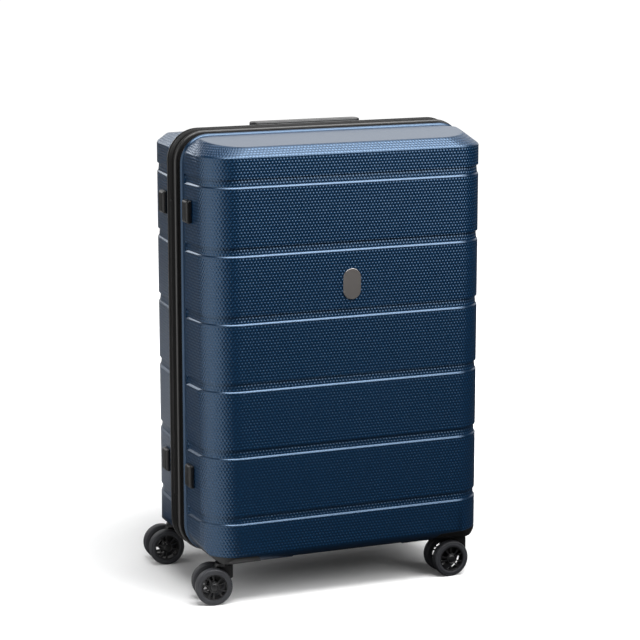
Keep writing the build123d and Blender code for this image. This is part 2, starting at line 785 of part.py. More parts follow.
stage_in = 2 * (tube_wall + slide_gap)
floor_bend = bottom_edge_radius - shell_wall
bracket_half_y = tube_depth / 2 + bracket_wall
bend_in = max(0.0, trolley_y + bracket_half_y - back_half.y(back_depth - shell_wall - floor_bend))
floor_lift = floor_bend - sqrt(floor_bend**2 - bend_in**2)
bracket_low = shell_bottom + belly_rise + shell_wall + floor_lift + seat_gap
bracket_high = bracket_low + bracket_height
outer_low = bracket_low + bracket_floor
bracket_half_x = tube_spacing / 2 + tube_width / 2 + bracket_wall
bracket = box(
    (-bracket_half_x, bracket_half_x),
    (trolley_y - bracket_half_y, trolley_y + bracket_half_y),
    (bracket_low, bracket_high),
)
socket_shape = tube(tube_width + 2 * seat_gap, tube_depth + 2 * seat_gap, tube_corner, outer_low, rim_top)
nodes["trolley_bracket"] = bracket - tube_pair(socket_shape)
stages = (
    ("trolley_outer_tubes", 0, outer_low, tray_floor),
    ("trolley_middle_tubes", 1, outer_low + tube_step, tray_floor + grip_float / 2),
    ("trolley_inner_tubes", 2, outer_low + 2 * tube_step, grip_bottom + tube_in_grip),
)
for name, stage, low, high in stages:
    width = tube_width - stage * stage_in
    depth = tube_depth - stage * stage_in
    corner = tube_corner - stage * tube_wall / 2
    bar = tube(width, depth, corner, low, high)
    bore = tube(width - 2 * tube_wall, depth - 2 * tube_wall, corner / 2, low - 1, high + 1)
    nodes[name] = Compound(tube_pair(bar - bore))

tray = tray_block(0, tray_top)
tray -= box(
    (-tray_half_x + tray_wall, tray_half_x - tray_wall),
    (tray_y[0] + tray_wall, tray_y[1] - tray_wall),
    (tray_floor, rim_top + reach_past),
)
nodes["trolley_tray"] = tray - tube_pair(socket_shape)

inner_width = tube_width - 2 * stage_in
inner_depth = tube_depth - 2 * stage_in
grip = box(
    (-grip_length / 2, grip_length / 2),
    (trolley_y - grip_width / 2, trolley_y + grip_width / 2),
    (grip_bottom, grip_top),
)
grip = fillet(grip.edges().filter_by(Axis.X), grip_edge)
tube_socket = tube(inner_width + 2 * seat_gap, inner_depth + 2 * seat_gap, tube_corner / 2, 0, grip_bottom + tube_in_grip)
channel_low = grip_bottom + channel_floor
channel_half_x = tube_spacing / 2 + rod_diameter
channel = box(
    (-channel_half_x, channel_half_x),
    (trolley_y - channel_width / 2, trolley_y + channel_width / 2),
    (channel_low, channel_low + channel_height),
)
rod_hole = upright(0, 0, grip_bottom, channel_low + 1, rod_diameter / 2 + slide_gap)


def button_block(gap, low, high):
    x = button_length / 2 + gap
    y = button_width / 2 + gap
    return box((-x, x), (trolley_y - y, trolley_y + y), (low, high))


grip -= tube_pair(tube_socket)
grip -= tube_pair(rod_hole)
grip -= channel
nodes["trolley_grip"] = grip - button_block(button_gap, channel_low, grip_top + reach_past)
bar_top = channel_low + channel_height - slide_gap
bar_low = bar_top - rod_bar_height
rods = box(
    (-tube_spacing / 2 - rod_diameter / 2, tube_spacing / 2 + rod_diameter / 2),
    (trolley_y - rod_bar_width / 2, trolley_y + rod_bar_width / 2),
    (bar_low, bar_top),
)
rod = upright(0, 0, outer_low + 3 * tube_step, bar_low + 1, rod_diameter / 2)
for piece in tube_pair(rod):
    rods += piece
nodes["release_rods"] = rods
button = button_block(0, bar_top, grip_top + button_proud)
nodes["trolley_button"] = fillet(button.faces().sort_by(Axis.Z)[-1].edges(), button_proud / 2)
spring_height = bar_low - channel_low - spring_wire - 2 * seat_gap
spring_path = Helix(pitch=spring_height / spring_turns, height=spring_height, radius=spring_radius)
spring = sweep(Plane(origin=spring_path @ 0, z_dir=spring_path % 0) * Circle(spring_wire / 2), path=spring_path)
nodes["button_spring"] = Pos(0, trolley_y, channel_low + seat_gap + spring_wire / 2) * spring

# Carry handles
nodes["top_handle_grip"], nodes["top_handle_sockets"] = handle_pieces(top_handle_place, top_handle_proud, back_smooth)
nodes["side_handle_grip"], nodes["side_handle_sockets"] = handle_pieces(
    side_handle_place, side_handle_proud, back_smooth
)

# Combination lock on the right side of the back half
lock_z = shell_bottom + lock_rise
lock_face = half_width + lock_proud
lock_from_rim = lip_width + lock_from_lip
lock_y = (back_half.y(lock_from_rim), back_half.y(lock_from_rim + lock_width))
lock_middle = (lock_y[0] + lock_y[1]) / 2
lock = box((half_width - reach_past, lock_face), lock_y, (lock_z - lock_length / 2, lock_z + lock_length / 2))
lock = chamfer(lock.faces().sort_by(Axis.X)[-1].edges(), lock_edge)
lock -= back_smooth
dial_x = lock_face + dial_proud - dial_radius
dial_heights = [lock_z + dial_pitch * (index - (dial_count - 1) / 2) for index in range(dial_count)]
for height in dial_heights:
    half_slot = dial_width / 2 + dial_gap
    lock -= upright(dial_x, lock_middle, height - half_slot, height + half_slot, dial_radius + dial_gap)
pin_reach = dial_count * dial_pitch / 2 + dial_gap
lock += upright(dial_x, lock_middle, lock_z - pin_reach, lock_z + pin_reach, dial_pin_radius)
release_z = lock_z - release_from_middle


def release_block(gap, low, high):
    y = release_width / 2 + gap
    z = release_length / 2 + gap
    return box((low, high), (lock_middle - y, lock_middle + y), (release_z - z, release_z + z))


pocket_floor = lock_face - release_depth - release_travel - slide_gap
nodes["lock_body"] = lock - release_block(slide_gap, pocket_floor, lock_face + reach_past)
nodes["lock_release"] = release_block(0, lock_face - release_depth, lock_face + release_proud)
for index, height in enumerate(dial_heights):
    dial = upright(dial_x, lock_middle, height - dial_width / 2, height + dial_width / 2, dial_radius)
    hole = upright(dial_x, lock_middle, height - dial_width, height + dial_width, dial_pin_radius + running_gap)
    nodes["lock_dial_" + str(index + 1)] = dial - hole

# Zip sliders on the straight run of the zip beside the lock, each with a hanging pull
slider_x = half_width + ribbon_proud + slide_gap
pull_x = slider_x + slider_thickness + pull_eye_radius + pull_gap
ear_in = pull_width / 2 + pull_gap
for name, z in (("upper", lock_z + slider_apart / 2), ("lower", lock_z - slider_apart / 2)):
    z_span = (z - slider_length / 2, z + slider_length / 2)
    y_span = (parting_y - slider_width / 2, parting_y + slider_width / 2)
    slider = box((slider_x, slider_x + slider_thickness), y_span, z_span)
    keel_half = zip_gap / 2 - slider_keel_gap
    keel_x = half_width + ribbon_proud - teeth_recess + slide_gap
    slider += box((keel_x, slider_x), (parting_y - keel_half, parting_y + keel_half), z_span)
    for side in (-1, 1):
        ear_y = (parting_y + side * ear_in, parting_y + side * (ear_in + ear_thickness))
        slider += box((slider_x, slider_x + slider_thickness + ear_height), ear_y, (z - ear_height / 2, z + ear_height / 2))
    slider += cross_bar(pull_x, z, parting_y - ear_in, parting_y + ear_in, pull_pin_radius)
    pull = cross_bar(pull_x, z, parting_y - pull_width / 2, parting_y + pull_width / 2, pull_eye_radius)
    pull += box(
        (pull_x - pull_thickness / 2, pull_x + pull_thickness / 2),
        (parting_y - pull_width / 2, parting_y + pull_width / 2),
        (z - pull_length, z),
    )
    pull -= cross_bar(pull_x, z, parting_y - pull_width, parting_y + pull_width, pull_pin_radius + running_gap)
    nodes["zip_slider_" + name] = slider
    nodes["zip_pull_" + name] = pull

for name, shape in nodes.items():
    export_step(shape, "parts/" + name + ".step")
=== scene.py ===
import json
from math import atan2, cos, hypot, pi, radians, sin, tan

import bmesh
import bpy
from mathutils import Matrix, Vector, noise


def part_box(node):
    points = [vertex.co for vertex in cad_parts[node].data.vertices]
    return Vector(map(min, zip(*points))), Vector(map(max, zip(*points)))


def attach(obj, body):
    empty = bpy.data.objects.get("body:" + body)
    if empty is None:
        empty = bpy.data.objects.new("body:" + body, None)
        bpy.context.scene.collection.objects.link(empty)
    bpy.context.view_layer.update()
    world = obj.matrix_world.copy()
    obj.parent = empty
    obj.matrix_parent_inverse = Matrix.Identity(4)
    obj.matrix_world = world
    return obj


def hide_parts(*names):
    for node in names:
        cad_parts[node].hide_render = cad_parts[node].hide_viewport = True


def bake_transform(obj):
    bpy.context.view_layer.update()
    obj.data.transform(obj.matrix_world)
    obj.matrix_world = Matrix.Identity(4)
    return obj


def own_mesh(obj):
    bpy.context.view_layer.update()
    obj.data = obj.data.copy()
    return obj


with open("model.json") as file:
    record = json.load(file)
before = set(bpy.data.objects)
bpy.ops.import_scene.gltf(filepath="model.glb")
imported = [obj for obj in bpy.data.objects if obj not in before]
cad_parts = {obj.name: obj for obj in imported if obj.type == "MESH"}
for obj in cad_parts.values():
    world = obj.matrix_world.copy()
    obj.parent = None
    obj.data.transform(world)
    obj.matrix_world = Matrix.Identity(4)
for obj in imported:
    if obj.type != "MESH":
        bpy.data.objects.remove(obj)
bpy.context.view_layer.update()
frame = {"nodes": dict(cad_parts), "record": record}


# Shells: two halves of navy polycarbonate sheet, drawn hot over a mould that presses a dotted grain into it.
# Each has six cross grooves with a sloped lower ledge, a low bead round the rim and a bevelled top.
mm = 0.001
weld_distance = 0.003 * mm
cut_distance = 0.01 * mm
flat_angle = radians(0.6)
sharp_angle = radians(32)
shell_draft = radians(4)
front_edge_radius = 55 * mm
back_edge_radius = 80 * mm
rim_bead = 1 * mm
bead_width = 3 * mm
bead_round = 0.85 * mm
bead_angle = radians(40)
bead_within = 0.1 * mm
rim_flat = 8 * mm
shell_foot = 100 * mm
shell_crease = 720 * mm
bevel_foot = shell_crease - 1 * mm
shell_middle = 400 * mm
inside_high = shell_crease - 100 * mm
groove_round = 0.5 * mm
groove_end = 9 * mm
groove_end_within = 0.3 * mm
groove_end_slope = 2.6 * mm
groove_end_clear = 0.5 * mm
groove_floor_in = 1.6 * mm
ledge_round = 0.9 * mm
ledge_out = 1.2 * mm
ledge_drop = 1.6 * mm
crease_round = 2.2 * mm
crease_angle = radians(18)
rim_corner_radius = 44 * mm
rim_corner_bevel = 24 * mm
rim_corner_reach = 22 * mm
rim_corner_rows = 6
rim_corner_cuts = 12
rim_corner_within = 0.02 * mm
grain_pitch = 5.5 * mm
grain_row = 4.7 * mm
grain_dot = 2.7 * mm
grain_height = 0.56 * mm
grain_on_lid = 0.12
grain_on_bevel = 0.75
bevel_stretch = 1.5

# How far up a face looks, as the height of its normal: walls, ledges, the top bevel and the lid.
upright_below = 0.1
ledge_from = 0.5
ledge_to = 0.85
stretch_from = 0.2
slope_from = 0.25
lid_from = 0.93


def linear(text):
    """A colour written as sRGB hex, as the linear values that a shader takes."""
    parts = [int(text[i : i + 2], 16) / 255 for i in (1, 3, 5)]
    return [c / 12.92 if c <= 0.04045 else ((c + 0.055) / 1.055) ** 2.4 for c in parts] + [1.0]


def add(tree, kind, sockets, **settings):
    """Adds a shader node, with its settings, and a value or a link for each socket named or numbered."""
    made = tree.nodes.new("ShaderNode" + kind)
    for key, value in settings.items():
        setattr(made, key, value)
    for key, value in sockets.items():
        if isinstance(value, bpy.types.NodeSocket):
            tree.links.new(value, made.inputs[key])
        else:
            made.inputs[key].default_value = value
    return made


def finish(name, base, sockets):
    """A new material with its base colour and shader sockets; gives it, its tree and its shader."""
    material = bpy.data.materials.new(name)
    material.use_nodes = True
    shader = material.node_tree.nodes["Principled BSDF"]
    shader.inputs["Base Color"].default_value = linear(base)
    for key, value in sockets.items():
        shader.inputs[key].default_value = value
    return material, material.node_tree, shader


def welded(node):
    """A copy of a CAD node's mesh with its triangles joined and each flat area made one face."""
    bm = bmesh.new()
    bm.from_mesh(frame["nodes"][node].data)
    bmesh.ops.remove_doubles(bm, verts=bm.verts, dist=weld_distance)
    bmesh.ops.dissolve_limit(bm, angle_limit=flat_angle, verts=bm.verts, edges=bm.edges)
    return bm


def piece(name, bm, body, slot, material, *nodes):
    """Makes a mesh an object that rides on a body, if one is given, and stands for some CAD nodes."""
    mesh = bpy.data.meshes.new(name)
    bm.to_mesh(mesh)
    bm.free()
    mesh.shade_smooth()
    made = bpy.data.objects.new(name, mesh)
    bpy.context.scene.collection.objects.link(made)
    mesh.materials.append(material)
    if body:
        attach(made, body)
    if nodes:
        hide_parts(*nodes)
    return made


def bevelled(bm, chosen, width, segments=3, affect="EDGES"):
    """Rounds the edges, or the corners, chosen in a mesh."""
    bmesh.ops.bevel(
        bm,
        geom=chosen,
        offset=width,
        offset_type="OFFSET",
        segments=segments,
        profile=0.5,
        affect=affect,
        material=-1,
    )


def cut(bm, spot, normal, geometry=None):
    """Cuts a mesh along a plane, all through or in the geometry given, and keeps both sides."""
    if geometry is None:
        geometry = bm.verts[:] + bm.edges[:] + bm.faces[:]
    bmesh.ops.bisect_plane(bm, geom=geometry, plane_co=spot, plane_no=normal, dist=cut_distance)


def mark_sharp(bm):
    """Leaves the sharp edges of a mesh out of its smooth shading."""
    for edge in bm.edges:
        edge.smooth = edge.calc_face_angle(0) < sharp_angle


def keep_flats(made):
    """Keeps the flats of a piece flat in the shading, up to its sharp edges."""
    normals = made.modifiers.new("flat faces", "WEIGHTED_NORMAL")
    normals.keep_sharp = True


def looks_away(face, spot):
    """True for a face that looks away from a spot."""
    return face.normal.dot(face.calc_center_median() - spot) > 0


def faces_out(face, rim):
    """True for a face on the outside of a half."""
    height = min(face.calc_center_median().z, inside_high)
    return looks_away(face, Vector((0, rim, height)))


def is_ledge(face):
    """True for the sloped lower side of a groove."""
    return ledge_from < face.normal.z < ledge_to and face.calc_center_median().z < shell_crease


def shape_grooves(bm, rim, away, half_width):
    """Draws the inner edge of every ledge down and out to a narrow step, and slopes the grooves' ends."""
    moves = []
    for vert in bm.verts:
        outside = [f for f in vert.link_faces if faces_out(f, rim)]
        upright = [f for f in outside if abs(f.normal.z) < upright_below]
        floors = [f for f in upright if f.calc_center_median().z > vert.co.z + ledge_drop]
        if floors and any(is_ledge(f) for f in outside):
            out = sum((f.normal for f in floors), Vector()).normalized()
            moves.append((vert, out * ledge_out - Vector((0, 0, ledge_drop))))
    for vert, move in moves:
        vert.co += move
    for vert in bm.verts:
        at_end = abs(abs(vert.co.y - rim) - groove_end) < groove_end_within
        on_floor = abs(vert.co.x) < half_width - groove_floor_in
        if at_end and on_floor and shell_foot < vert.co.z < shell_crease:
            vert.co.y += away * groove_end_slope
    bm.normal_update()


def ledge_lip(edge):
    """True for the edge where a ledge meets the sheet below it."""
    return edge.is_convex and max(f.normal.z for f in edge.link_faces) > ledge_from


def round_creases(bm, rim, width, low, high, wanted=None):
    """Rounds creases moulded into the outside of a half between two heights, all of them or one kind."""
    groove_clear = groove_end + groove_end_slope + groove_end_clear
    chosen = []
    for edge in bm.edges:
        if edge.calc_face_angle(0) < crease_angle:
            continue
        outside = all(faces_out(f, rim) for f in edge.link_faces)
        depths = [abs(v.co.y - rim) for v in edge.verts]
        clear = min(depths) > rim_flat and max(depths) > groove_clear
        between = all(low < v.co.z < high for v in edge.verts)
        if outside and clear and between and (wanted is None or wanted(edge)):
            chosen.append(edge)
    bevelled(bm, chosen, width)


def round_bead(bm, rim):
    """Rounds the two outer edges of the bead that runs round the rim."""
    chosen = []
    inside = Vector((0, rim, shell_middle))
    for edge in bm.edges:
        near = all(abs(v.co.y - rim) < bead_width + bead_within for v in edge.verts)
        along = abs(edge.verts[0].co.y - edge.verts[1].co.y) < bead_within
        outside = any(looks_away(f, inside) for f in edge.link_faces)
        if near and along and outside and edge.is_convex and edge.calc_face_angle(0) > bead_angle:
            chosen.append(edge)
    bevelled(bm, chosen, bead_round)


def bevelled_reach(share_x, share_z):
    """How far the outline of a bevelled top corner lies from its round corner's middle, in a direction."""
    reach = (2 * rim_corner_radius - rim_corner_bevel) / (share_x + share_z)
    for share in (share_x, share_z):
        if share > 0.5:
            reach = min(reach, rim_corner_radius / share)
    return reach


def round_rim_corners(bm, rim, away, half_width, top):
    """Lets the bevelled top corners run out into round corners at the rim, where the ribbon goes round."""
    middle_x = half_width - rim_corner_radius
    middle_z = top - rim_corner_radius
    cut(bm, (0, 0, middle_z), (0, 0, 1))
    for side in (-1, 1):
        cut(bm, (side * middle_x, 0, 0), (1, 0, 0))
    for row in range(1, rim_corner_rows + 1):
        cut(bm, (0, rim + away * rim_corner_reach * row / rim_corner_rows, 0), (0, 1, 0))

    def in_corner(vert, side):
        beside = side * vert.co.x > middle_x - rim_corner_within
        above = vert.co.z > middle_z - rim_corner_within
        near = (vert.co.y - rim) * away < rim_corner_reach + rim_corner_within
        return beside and above and near

    for side in (-1, 1):
        for step in range(1, rim_corner_cuts):
            angle = step * pi / 2 / rim_corner_cuts
            faces = [f for f in bm.faces if all(in_corner(v, side) for v in f.verts)]
            edges = {e for f in faces for e in f.edges}
            verts = {v for f in faces for v in f.verts}
            normal = (side * sin(angle), 0, -cos(angle))
            cut(bm, (side * middle_x, 0, middle_z), normal, list(verts) + list(edges) + faces)
        for vert in [v for v in bm.verts if in_corner(v, side)]:
            across = side * vert.co.x - middle_x
            height = vert.co.z - middle_z
            distance = hypot(across, height)
            if distance < rim_corner_radius / 2:
                continue
            share_x = across / distance
            share_z = height / distance
            run = min(1.0, max(0.0, (vert.co.y - rim) * away / rim_corner_reach))
            fade = 1 - run * run * (3 - 2 * run)
            pull = (bevelled_reach(share_x, share_z) - rim_corner_radius) * fade
            vert.co.x -= side * share_x * pull
            vert.co.z -= share_z * pull
    bm.normal_update()


def along_shell(x, depth, half_width, shell_depth, radius):
    """Distance along the outline of a shell, seen from above, from the middle of its closed face."""
    across = abs(x)
    slope = tan(shell_draft)
    turn_depth = shell_depth - radius
    turn_across = half_width - turn_depth * slope - radius * hypot(1, slope)
    if across <= turn_across:
        return x
    angle = atan2(across - turn_across, depth - turn_depth)
    side_angle = pi / 2 - shell_draft
    run = turn_across + radius * min(angle, side_angle)
    if angle > side_angle:
        run += (turn_depth + radius * sin(shell_draft) - depth) * hypot(1, slope)
    return run if x > 0 else -run


def lay_grain(bm, rim, away, half_width, shell_depth, radius):
    """UVs in metres that follow the sheet, and each face's share of the grain: none on ledges and rims."""
    layer = bm.loops.layers.uv.new("grain")
    share = bm.faces.layers.float.new("grain_share")
    for face in bm.faces:
        up = abs(face.normal.z)
        middle = face.calc_center_median()
        on_top = middle.z > shell_crease
        face[share] = 1.0
        if abs(middle.y - rim) < rim_flat or (up > slope_from and not on_top):
            face[share] = 0.0
        elif up > lid_from:
            face[share] = grain_on_lid
        elif on_top and up > slope_from:
            face[share] = grain_on_bevel
        for loop in face.loops:
            x, y, z = loop.vert.co
            if up > lid_from:
                loop[layer].uv = (x, y)
                continue
            height = z
            if up > stretch_from and on_top:
                height = shell_crease + (z - shell_crease) * bevel_stretch
            along = along_shell(x, (y - rim) * away, half_width, shell_depth, radius)
            loop[layer].uv = (along, height)


# Polycarbonate: clear, glossy plastic coloured through. Each dot of the grain catches a point of light on its
# upper side and leaves the sheet between the dots dark. The dots are also painted a lighter navy than the
# sheet between them, as a painted highlight.
polycarbonate, tree, shader = finish(
    "polycarbonate, navy, dotted grain",
    "#0d2b4a",
    {"Roughness": 0.28, "IOR": 1.58, "Specular IOR Level": 1.0, "Specular Tint": linear("#b0d0f4")},
)
uv = add(tree, "UVMap", {}, uv_map="grain").outputs["UV"]
cell = (grain_pitch, 2 * grain_row, 1)
cells_per_metre = (1 / cell[0], 1 / cell[1], 0)
per_cell = add(tree, "VectorMath", {0: uv, 1: cells_per_metre}, operation="MULTIPLY").outputs[0]
distances = []
for shift in (0, 0.5):
    moved = add(tree, "VectorMath", {0: per_cell, 1: (shift, shift, 0)}, operation="ADD").outputs[0]
    share = add(tree, "VectorMath", {0: moved}, operation="FRACTION").outputs[0]
    centred = add(tree, "VectorMath", {0: share, 1: (0.5, 0.5, 0)}, operation="SUBTRACT").outputs[0]
    scaled = add(tree, "VectorMath", {0: centred, 1: cell}, operation="MULTIPLY").outputs[0]
    distances.append(add(tree, "VectorMath", {0: scaled}, operation="LENGTH").outputs["Value"])
nearest = add(tree, "Math", {0: distances[0], 1: distances[1]}, operation="MINIMUM").outputs[0]
dot = add(
    tree,
    "MapRange",
    {"Value": nearest, "From Min": 0, "From Max": grain_dot, "To Min": 1, "To Max": 0},
    interpolation_type="SMOOTHSTEP",
).outputs[0]
share = add(tree, "Attribute", {}, attribute_name="grain_share").outputs["Fac"]
raised = add(tree, "Math", {0: dot, 1: share}, operation="MULTIPLY").outputs[0]
bump = add(tree, "Bump", {"Strength": 1.0, "Distance": grain_height, "Height": raised})
tree.links.new(bump.outputs[0], shader.inputs["Normal"])
# Painted highlight: the base colour runs from the dark sheet between the dots to a lighter navy on the dots.
tone = add(tree, "ValToRGB", {"Fac": raised})
tone.color_ramp.elements[0].color = linear("#01182d")
tone.color_ramp.elements[1].color = linear("#083253")
tree.links.new(tone.outputs[0], shader.inputs["Base Color"])

for name, away, radius in (("front", -1, front_edge_radius), ("back", 1, back_edge_radius)):
    low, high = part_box(name + "_shell")
    rim, end = (high[1], low[1]) if away < 0 else (low[1], high[1])
    half_width = high[0] - rim_bead
    sheet = welded(name + "_shell")
    shape_grooves(sheet, rim, away, half_width)
    round_creases(sheet, rim, ledge_round, shell_foot, bevel_foot, ledge_lip)
    round_creases(sheet, rim, groove_round, shell_foot, bevel_foot)
    round_creases(sheet, rim, crease_round, bevel_foot, high[2])
    round_bead(sheet, rim)
    round_rim_corners(sheet, rim, away, half_width, high[2] - rim_bead)
    mark_sharp(sheet)
    lay_grain(sheet, rim, away, half_width, abs(end - rim), radius)
    shell = piece(name + "_shell_sheet", sheet, name + "_half", "shell", polycarbonate, name + "_shell")
    keep_flats(shell)


# Ribbons: woven polyester tape, folded over a cord beside the zip and stapled behind the rims of the shells.
# The back one lies flat and wide; the front one is a ridge beside the zip with a sunk band to the shell.
ribbon_low, ribbon_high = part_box("back_zip_ribbon")
ribbon_proud = 6 * mm
ribbon_root = -5 * mm
rim_half = ribbon_high[0] - ribbon_proud
rim_low = ribbon_low[2] + ribbon_proud
rim_high = ribbon_high[2] - ribbon_proud
rim_low_radius = 48 * mm
corner_steps = 14
thread_pitch = 1.3 * mm
pick_pitch = 0.9 * mm


def rim_line():
    """A closed chain of edges along the rims: a rectangle with its corners rounded."""
    bm = bmesh.new()
    corners = [(-rim_half, rim_low), (rim_half, rim_low), (rim_half, rim_high), (-rim_half, rim_high)]
    made = [bm.verts.new((x, 0, z)) for x, z in corners]
    for here, there in zip(made, made[1:] + made[:1]):
        bm.edges.new((here, there))
    bevelled(bm, made[:2], rim_low_radius, corner_steps, "VERTICES")
    bevelled(bm, made[2:], rim_corner_radius, corner_steps, "VERTICES")
    return bm


def stations(bm):
    """The vertices of a closed chain in order, each with its outward direction and its run along it."""
    start = min(bm.verts, key=lambda v: (v.co.z, abs(v.co.x)))
    order = [start]
    edge = start.link_edges[0]
    while len(order) < len(bm.verts):
        order.append(edge.other_vert(order[-1]))
        edge = next(e for e in order[-1].link_edges if e is not edge)
    middle = Vector((0, 0, (rim_low + rim_high) / 2))
    run = 0.0
    found = []
    for index, vert in enumerate(order):
        before = order[index - 1].co
        after = order[(index + 1) % len(order)].co
        ahead = (vert.co - before).normalized() + (after - vert.co).normalized()
        out = Vector((ahead.z, 0, -ahead.x)).normalized()
        if out.dot(vert.co - middle) < 0:
            out = -out
        if index:
            run += (vert.co - before).length
        found.append((vert, out, run))
    return found


def swept_ring(section):
    """Sweeps a section of (depth, outset, shine) points round the rim line into a closed ring with UVs."""
    bm = rim_line()
    base = bm.verts.layers.float_vector.new("base")
    outward = bm.verts.layers.float_vector.new("outward")
    run_layer = bm.verts.layers.float.new("run")
    across_layer = bm.verts.layers.float.new("across")
    shine_layer = bm.verts.layers.float.new("shine")
    for vert, out, run in stations(bm):
        vert[base] = vert.co
        vert[outward] = out
        vert[run_layer] = run
    length = max(v[run_layer] for v in bm.verts)
    first = bm.edges[:]
    ring = first
    verts = bm.verts[:]
    across = 0.0
    for index, (depth, outset, shine) in enumerate(section):
        if index:
            made = bmesh.ops.extrude_edge_only(bm, edges=ring)["geom"]
            verts = [g for g in made if isinstance(g, bmesh.types.BMVert)]
            fresh = set(verts)
            ring = [g for g in made if isinstance(g, bmesh.types.BMEdge) and fresh.issuperset(g.verts)]
            across += hypot(depth - section[index - 1][0], outset - section[index - 1][1])
        for vert in verts:
            vert.co = vert[base] + vert[outward] * outset
            vert.co.y = depth
            vert[across_layer] = across
            vert[shine_layer] = shine
    bmesh.ops.bridge_loops(bm, edges=first + ring)
    bmesh.ops.recalc_face_normals(bm, faces=bm.faces)
    layer = bm.loops.layers.uv.new("weave")
    for face in bm.faces:
        runs = [v[run_layer] for v in face.verts]
        wraps = max(runs) - min(runs) > length / 2
        for loop in face.loops:
            run = loop.vert[run_layer]
            along = run + length if wraps and run < length / 2 else run
            loop[layer].uv = (along, loop.vert[across_layer])
    return bm


# Woven tape: matt black polyester with fine lines along it, drawn coarser than real ones so that they show.
# Where it is drawn over the cords it is pressed smooth and shines, as thin light lines along the crests.
tape, tree, shader = finish("woven polyester tape, black", "#0d0c0c", {"Roughness": 0.6})
shine = add(tree, "Attribute", {}, attribute_name="shine").outputs["Fac"]
gloss = add(tree, "MapRange", {"Value": shine, "To Min": 0.12, "To Max": 1.0}).outputs[0]
tree.links.new(gloss, shader.inputs["Specular IOR Level"])
rough = add(tree, "MapRange", {"Value": shine, "To Min": 0.6, "To Max": 0.3}).outputs[0]
tree.links.new(rough, shader.inputs["Roughness"])
uv = add(tree, "UVMap", {}, uv_map="weave").outputs["UV"]
turns = (2 * pi / pick_pitch, 2 * pi / thread_pitch, 0)
phase = add(tree, "VectorMath", {0: uv, 1: turns}, operation="MULTIPLY").outputs[0]
waves = add(tree, "VectorMath", {0: phase}, operation="SINE").outputs[0]
split = add(tree, "SeparateXYZ", {0: waves})
pick = add(tree, "Math", {0: split.outputs["X"], 1: 0.3}, operation="MULTIPLY").outputs[0]
weave = add(tree, "Math", {0: split.outputs["Y"], 1: pick}, operation="ADD").outputs[0]
bump = add(tree, "Bump", {"Strength": 0.35, "Distance": 0.08 * mm, "Height": weave})
tree.links.new(bump.outputs[0], shader.inputs["Normal"])
tone = add(tree, "MapRange", {"Value": weave, "From Min": -1.3, "From Max": 1.3}).outputs[0]
shade = add(tree, "ValToRGB", {"Fac": tone})
shade.color_ramp.elements[0].color = linear("#080808")
shade.color_ramp.elements[1].color = linear("#100f0f")
tree.links.new(shade.outputs[0], shader.inputs["Base Color"])

# Both sections start with the flat edge of the tape that lies under the teeth, up to the middle of the zip.
front_ribbon_low, front_ribbon_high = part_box("front_zip_ribbon")
zip_face_back = ribbon_low[1]
zip_face_front = front_ribbon_high[1]
zip_middle = (zip_face_front + zip_face_back) / 2
back_rim = ribbon_high[1]
front_rim = front_ribbon_low[1]
tape_under = -1.2 * mm
tape_apart = 0.05 * mm
back_section = [
    (zip_middle + tape_apart, ribbon_root, 0),
    (zip_middle + tape_apart, tape_under, 0),
    (zip_face_back, tape_under, 0),
    (zip_face_back, 4.4 * mm, 0),
    (zip_face_back + 0.7 * mm, 5.5 * mm, 0),
    (zip_face_back + 2.2 * mm, 6.0 * mm, 0),
    (zip_face_back + 10 * mm, 6.3 * mm, 0),
    (back_rim - 5.0 * mm, 6.0 * mm, 0),
    (back_rim - 4.4 * mm, 5.6 * mm, 0),
    (back_rim - 3.8 * mm, 6.2 * mm, 0),
    (back_rim - 2.8 * mm, 7.0 * mm, 1),
    (back_rim - 1.4 * mm, 7.1 * mm, 1),
    (back_rim - 0.3 * mm, 6.2 * mm, 0),
    (back_rim - 0.1 * mm, 4.0 * mm, 0),
    (back_rim - 0.1 * mm, ribbon_root, 0),
]
front_section = [
    (zip_middle - tape_apart, ribbon_root, 0),
    (zip_middle - tape_apart, tape_under, 0),
    (zip_face_front, tape_under, 0),
    (zip_face_front, 4.2 * mm, 0),
    (zip_face_front - 0.6 * mm, 5.4 * mm, 0),
    (zip_face_front - 1.8 * mm, 6.1 * mm, 0),
    (zip_face_front - 4.2 * mm, 6.4 * mm, 0),
    (zip_face_front - 6.0 * mm, 6.1 * mm, 0.3),
    (zip_face_front - 7.4 * mm, 5.4 * mm, 1),
    (zip_face_front - 8.6 * mm, 4.2 * mm, 0.3),
    (zip_face_front - 9.3 * mm, 2.2 * mm, 0),
    (zip_face_front - 9.5 * mm, -1.2 * mm, 0),
    (zip_face_front - 10.5 * mm, -1.8 * mm, 0),
    (front_rim + 1.0 * mm, -1.8 * mm, 0),
    (front_rim + 0.1 * mm, -2.0 * mm, 0),
    (front_rim + 0.1 * mm, ribbon_root, 0),
]
for name, section in (("front", front_section), ("back", back_section)):
    piece(name + "_ribbon", swept_ring(section), name + "_half", "ribbon", tape, name + "_zip_ribbon")


# Shell lips: the edge of each shell, turned out hot in a narrow sloped lip of the same polycarbonate.
# The ribbons butt against it all round.
lip_root = -14 * mm
for name, away, rim in (("front", -1, front_rim), ("back", 1, back_rim)):
    lip_section = [
        (rim, lip_root, 0),
        (rim, 2.2 * mm, 0),
        (rim + away * 0.4 * mm, 2.7 * mm, 0),
        (rim + away * 1.0 * mm, 2.8 * mm, 0),
        (rim + away * 1.6 * mm, 2.5 * mm, 0),
        (rim + away * 3.8 * mm, 0.4 * mm, 0),
        (rim + away * 4.2 * mm, -0.4 * mm, 0),
        (rim + away * 4.2 * mm, lip_root, 0),
    ]
    lip = swept_ring(lip_section)
    piece(name + "_shell_lip", lip, name + "_half", "shell", polycarbonate, name + "_shell")


